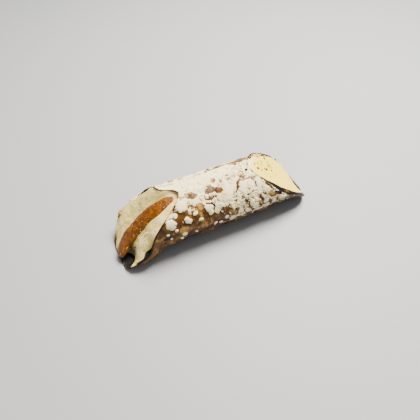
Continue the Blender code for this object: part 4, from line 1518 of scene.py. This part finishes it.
class CANNOLO_OT_curds(bpy.types.Operator):
    """Small pale curds on the cream: flattened uneven balls half sunk in it.

    The listed ones are on the left end; the rest fall at random on both.
    """

    bl_idname = "cannolo.curds"
    bl_label = "Curds"

    def execute(self, context):
        rng = np.random.default_rng(23)
        count = 46
        listed = np.array(CURDS)
        depth = np.concatenate([listed[:, 0], np.sqrt(rng.uniform(0.03, 0.72, count))])
        angle = np.concatenate([listed[:, 1], rng.uniform(0, 360, count)])
        size = np.concatenate([listed[:, 2], 0.18 + 0.40 * rng.random(count) ** 3])
        left = np.concatenate([np.ones(len(listed), bool), rng.random(count) < 0.6])
        x_left, r_left = left_cream(depth, angle)
        x_right, r_right = right_cream(depth, angle)
        x = np.where(left, x_left + 0.35 * size, x_right - 0.35 * size)
        centres = tube_point(x, angle, np.where(left, r_left, r_right), 0.8)
        frames = random_frames(rng, len(centres))
        scales = size[:, None] * rng.uniform(0.6, 1.2, (len(centres), 3))
        piece = copies("ricotta_curds", *pebble(6, 10, 6, 0.2), centres, frames, scales)
        settle(piece, "ricotta_cream", curd_material())
        return {"FINISHED"}


class CANNOLO_OT_stage(bpy.types.Operator):
    """Pale table, even light all round, one soft light above and behind, and the camera."""

    bl_idname = "cannolo.stage"
    bl_label = "Table, light and camera"

    def execute(self, context):
        stage = settings("stage")
        scene = context.scene
        bpy.ops.mesh.primitive_plane_add(size=4.0, location=(0, 0, -0.00005))
        table = context.object
        table.name = "table"
        table_top = new_material("Table", Roughness=0.6, Base_Color=rgba(stage.floor))[0]
        table.data.materials.append(table_top)

        world = bpy.data.worlds.new("Room")
        world.use_nodes = True
        background = world.node_tree.nodes["Background"].inputs
        background["Color"].default_value = rgba(ROOM_LIGHT)
        background["Strength"].default_value = stage.fill
        scene.world = world
        self.lamp("key", (0.30, 0.15, 0.67), 0.34, stage.key, LAMP_LIGHT)

        data = bpy.data.cameras.new("camera")
        data.lens = stage.lens
        data.sensor_width = 36.0
        camera = bpy.data.objects.new("camera", data)
        scene.collection.objects.link(camera)
        a, e = stage.azimuth, stage.elevation
        back = Vector((math.sin(a) * math.cos(e), -math.cos(a) * math.cos(e), math.sin(e)))
        camera.location = stage.camera
        camera.rotation_mode = "QUATERNION"
        camera.rotation_quaternion = (-back).to_track_quat("-Z", "Y")
        data.clip_start = 0.01
        scene.camera = camera
        return {"FINISHED"}

    def lamp(self, name, place_at, size, power, tint):
        """Square soft light aimed at the piece."""
        data = bpy.data.lights.new(name, "AREA")
        data.size = size
        data.energy = power
        data.color = tint
        lamp = bpy.data.objects.new(name, data)
        lamp.location = place_at
        lamp.rotation_mode = "QUATERNION"
        lamp.rotation_quaternion = (-Vector(place_at)).to_track_quat("-Z", "Y")
        bpy.context.scene.collection.objects.link(lamp)


class CANNOLO_PT_panel(bpy.types.Panel):
    """Settings and steps of the cannolo."""

    bl_idname = "CANNOLO_PT_panel"
    bl_label = "Cannolo"
    bl_space_type = "VIEW_3D"
    bl_region_type = "UI"
    bl_category = "Cannolo"

    def draw(self, context):
        for name, group in SETTINGS.items():
            box = self.layout.box()
            box.label(text=group.__name__)
            for key in group.__annotations__:
                box.prop(getattr(context.scene, name), key)
        for step in STEPS:
            self.layout.operator(step.bl_idname)


STEPS = (
    CANNOLO_OT_shell,
    CANNOLO_OT_powder,
    CANNOLO_OT_lining,
    CANNOLO_OT_cream,
    CANNOLO_OT_peel,
    CANNOLO_OT_crumbs,
    CANNOLO_OT_curds,
    CANNOLO_OT_stage,
)


def register():
    for group in SETTINGS.values():
        bpy.utils.register_class(group)
    for name, group in SETTINGS.items():
        setattr(bpy.types.Scene, name, PointerProperty(type=group))
    for step in (*STEPS, CANNOLO_PT_panel):
        bpy.utils.register_class(step)


def unregister():
    for step in reversed((*STEPS, CANNOLO_PT_panel)):
        bpy.utils.unregister_class(step)
    for name in SETTINGS:
        delattr(bpy.types.Scene, name)
    for group in reversed(SETTINGS.values()):
        bpy.utils.unregister_class(group)


def main():
    register()
    for name in ("Cube", "Light", "Camera"):
        if name in bpy.data.objects:
            bpy.data.objects.remove(bpy.data.objects[name], do_unlink=True)
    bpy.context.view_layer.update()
    for step in STEPS:
        group, name = step.bl_idname.split(".")
        getattr(getattr(bpy.ops, group), name)()


if __name__ == "__main__":
    main()
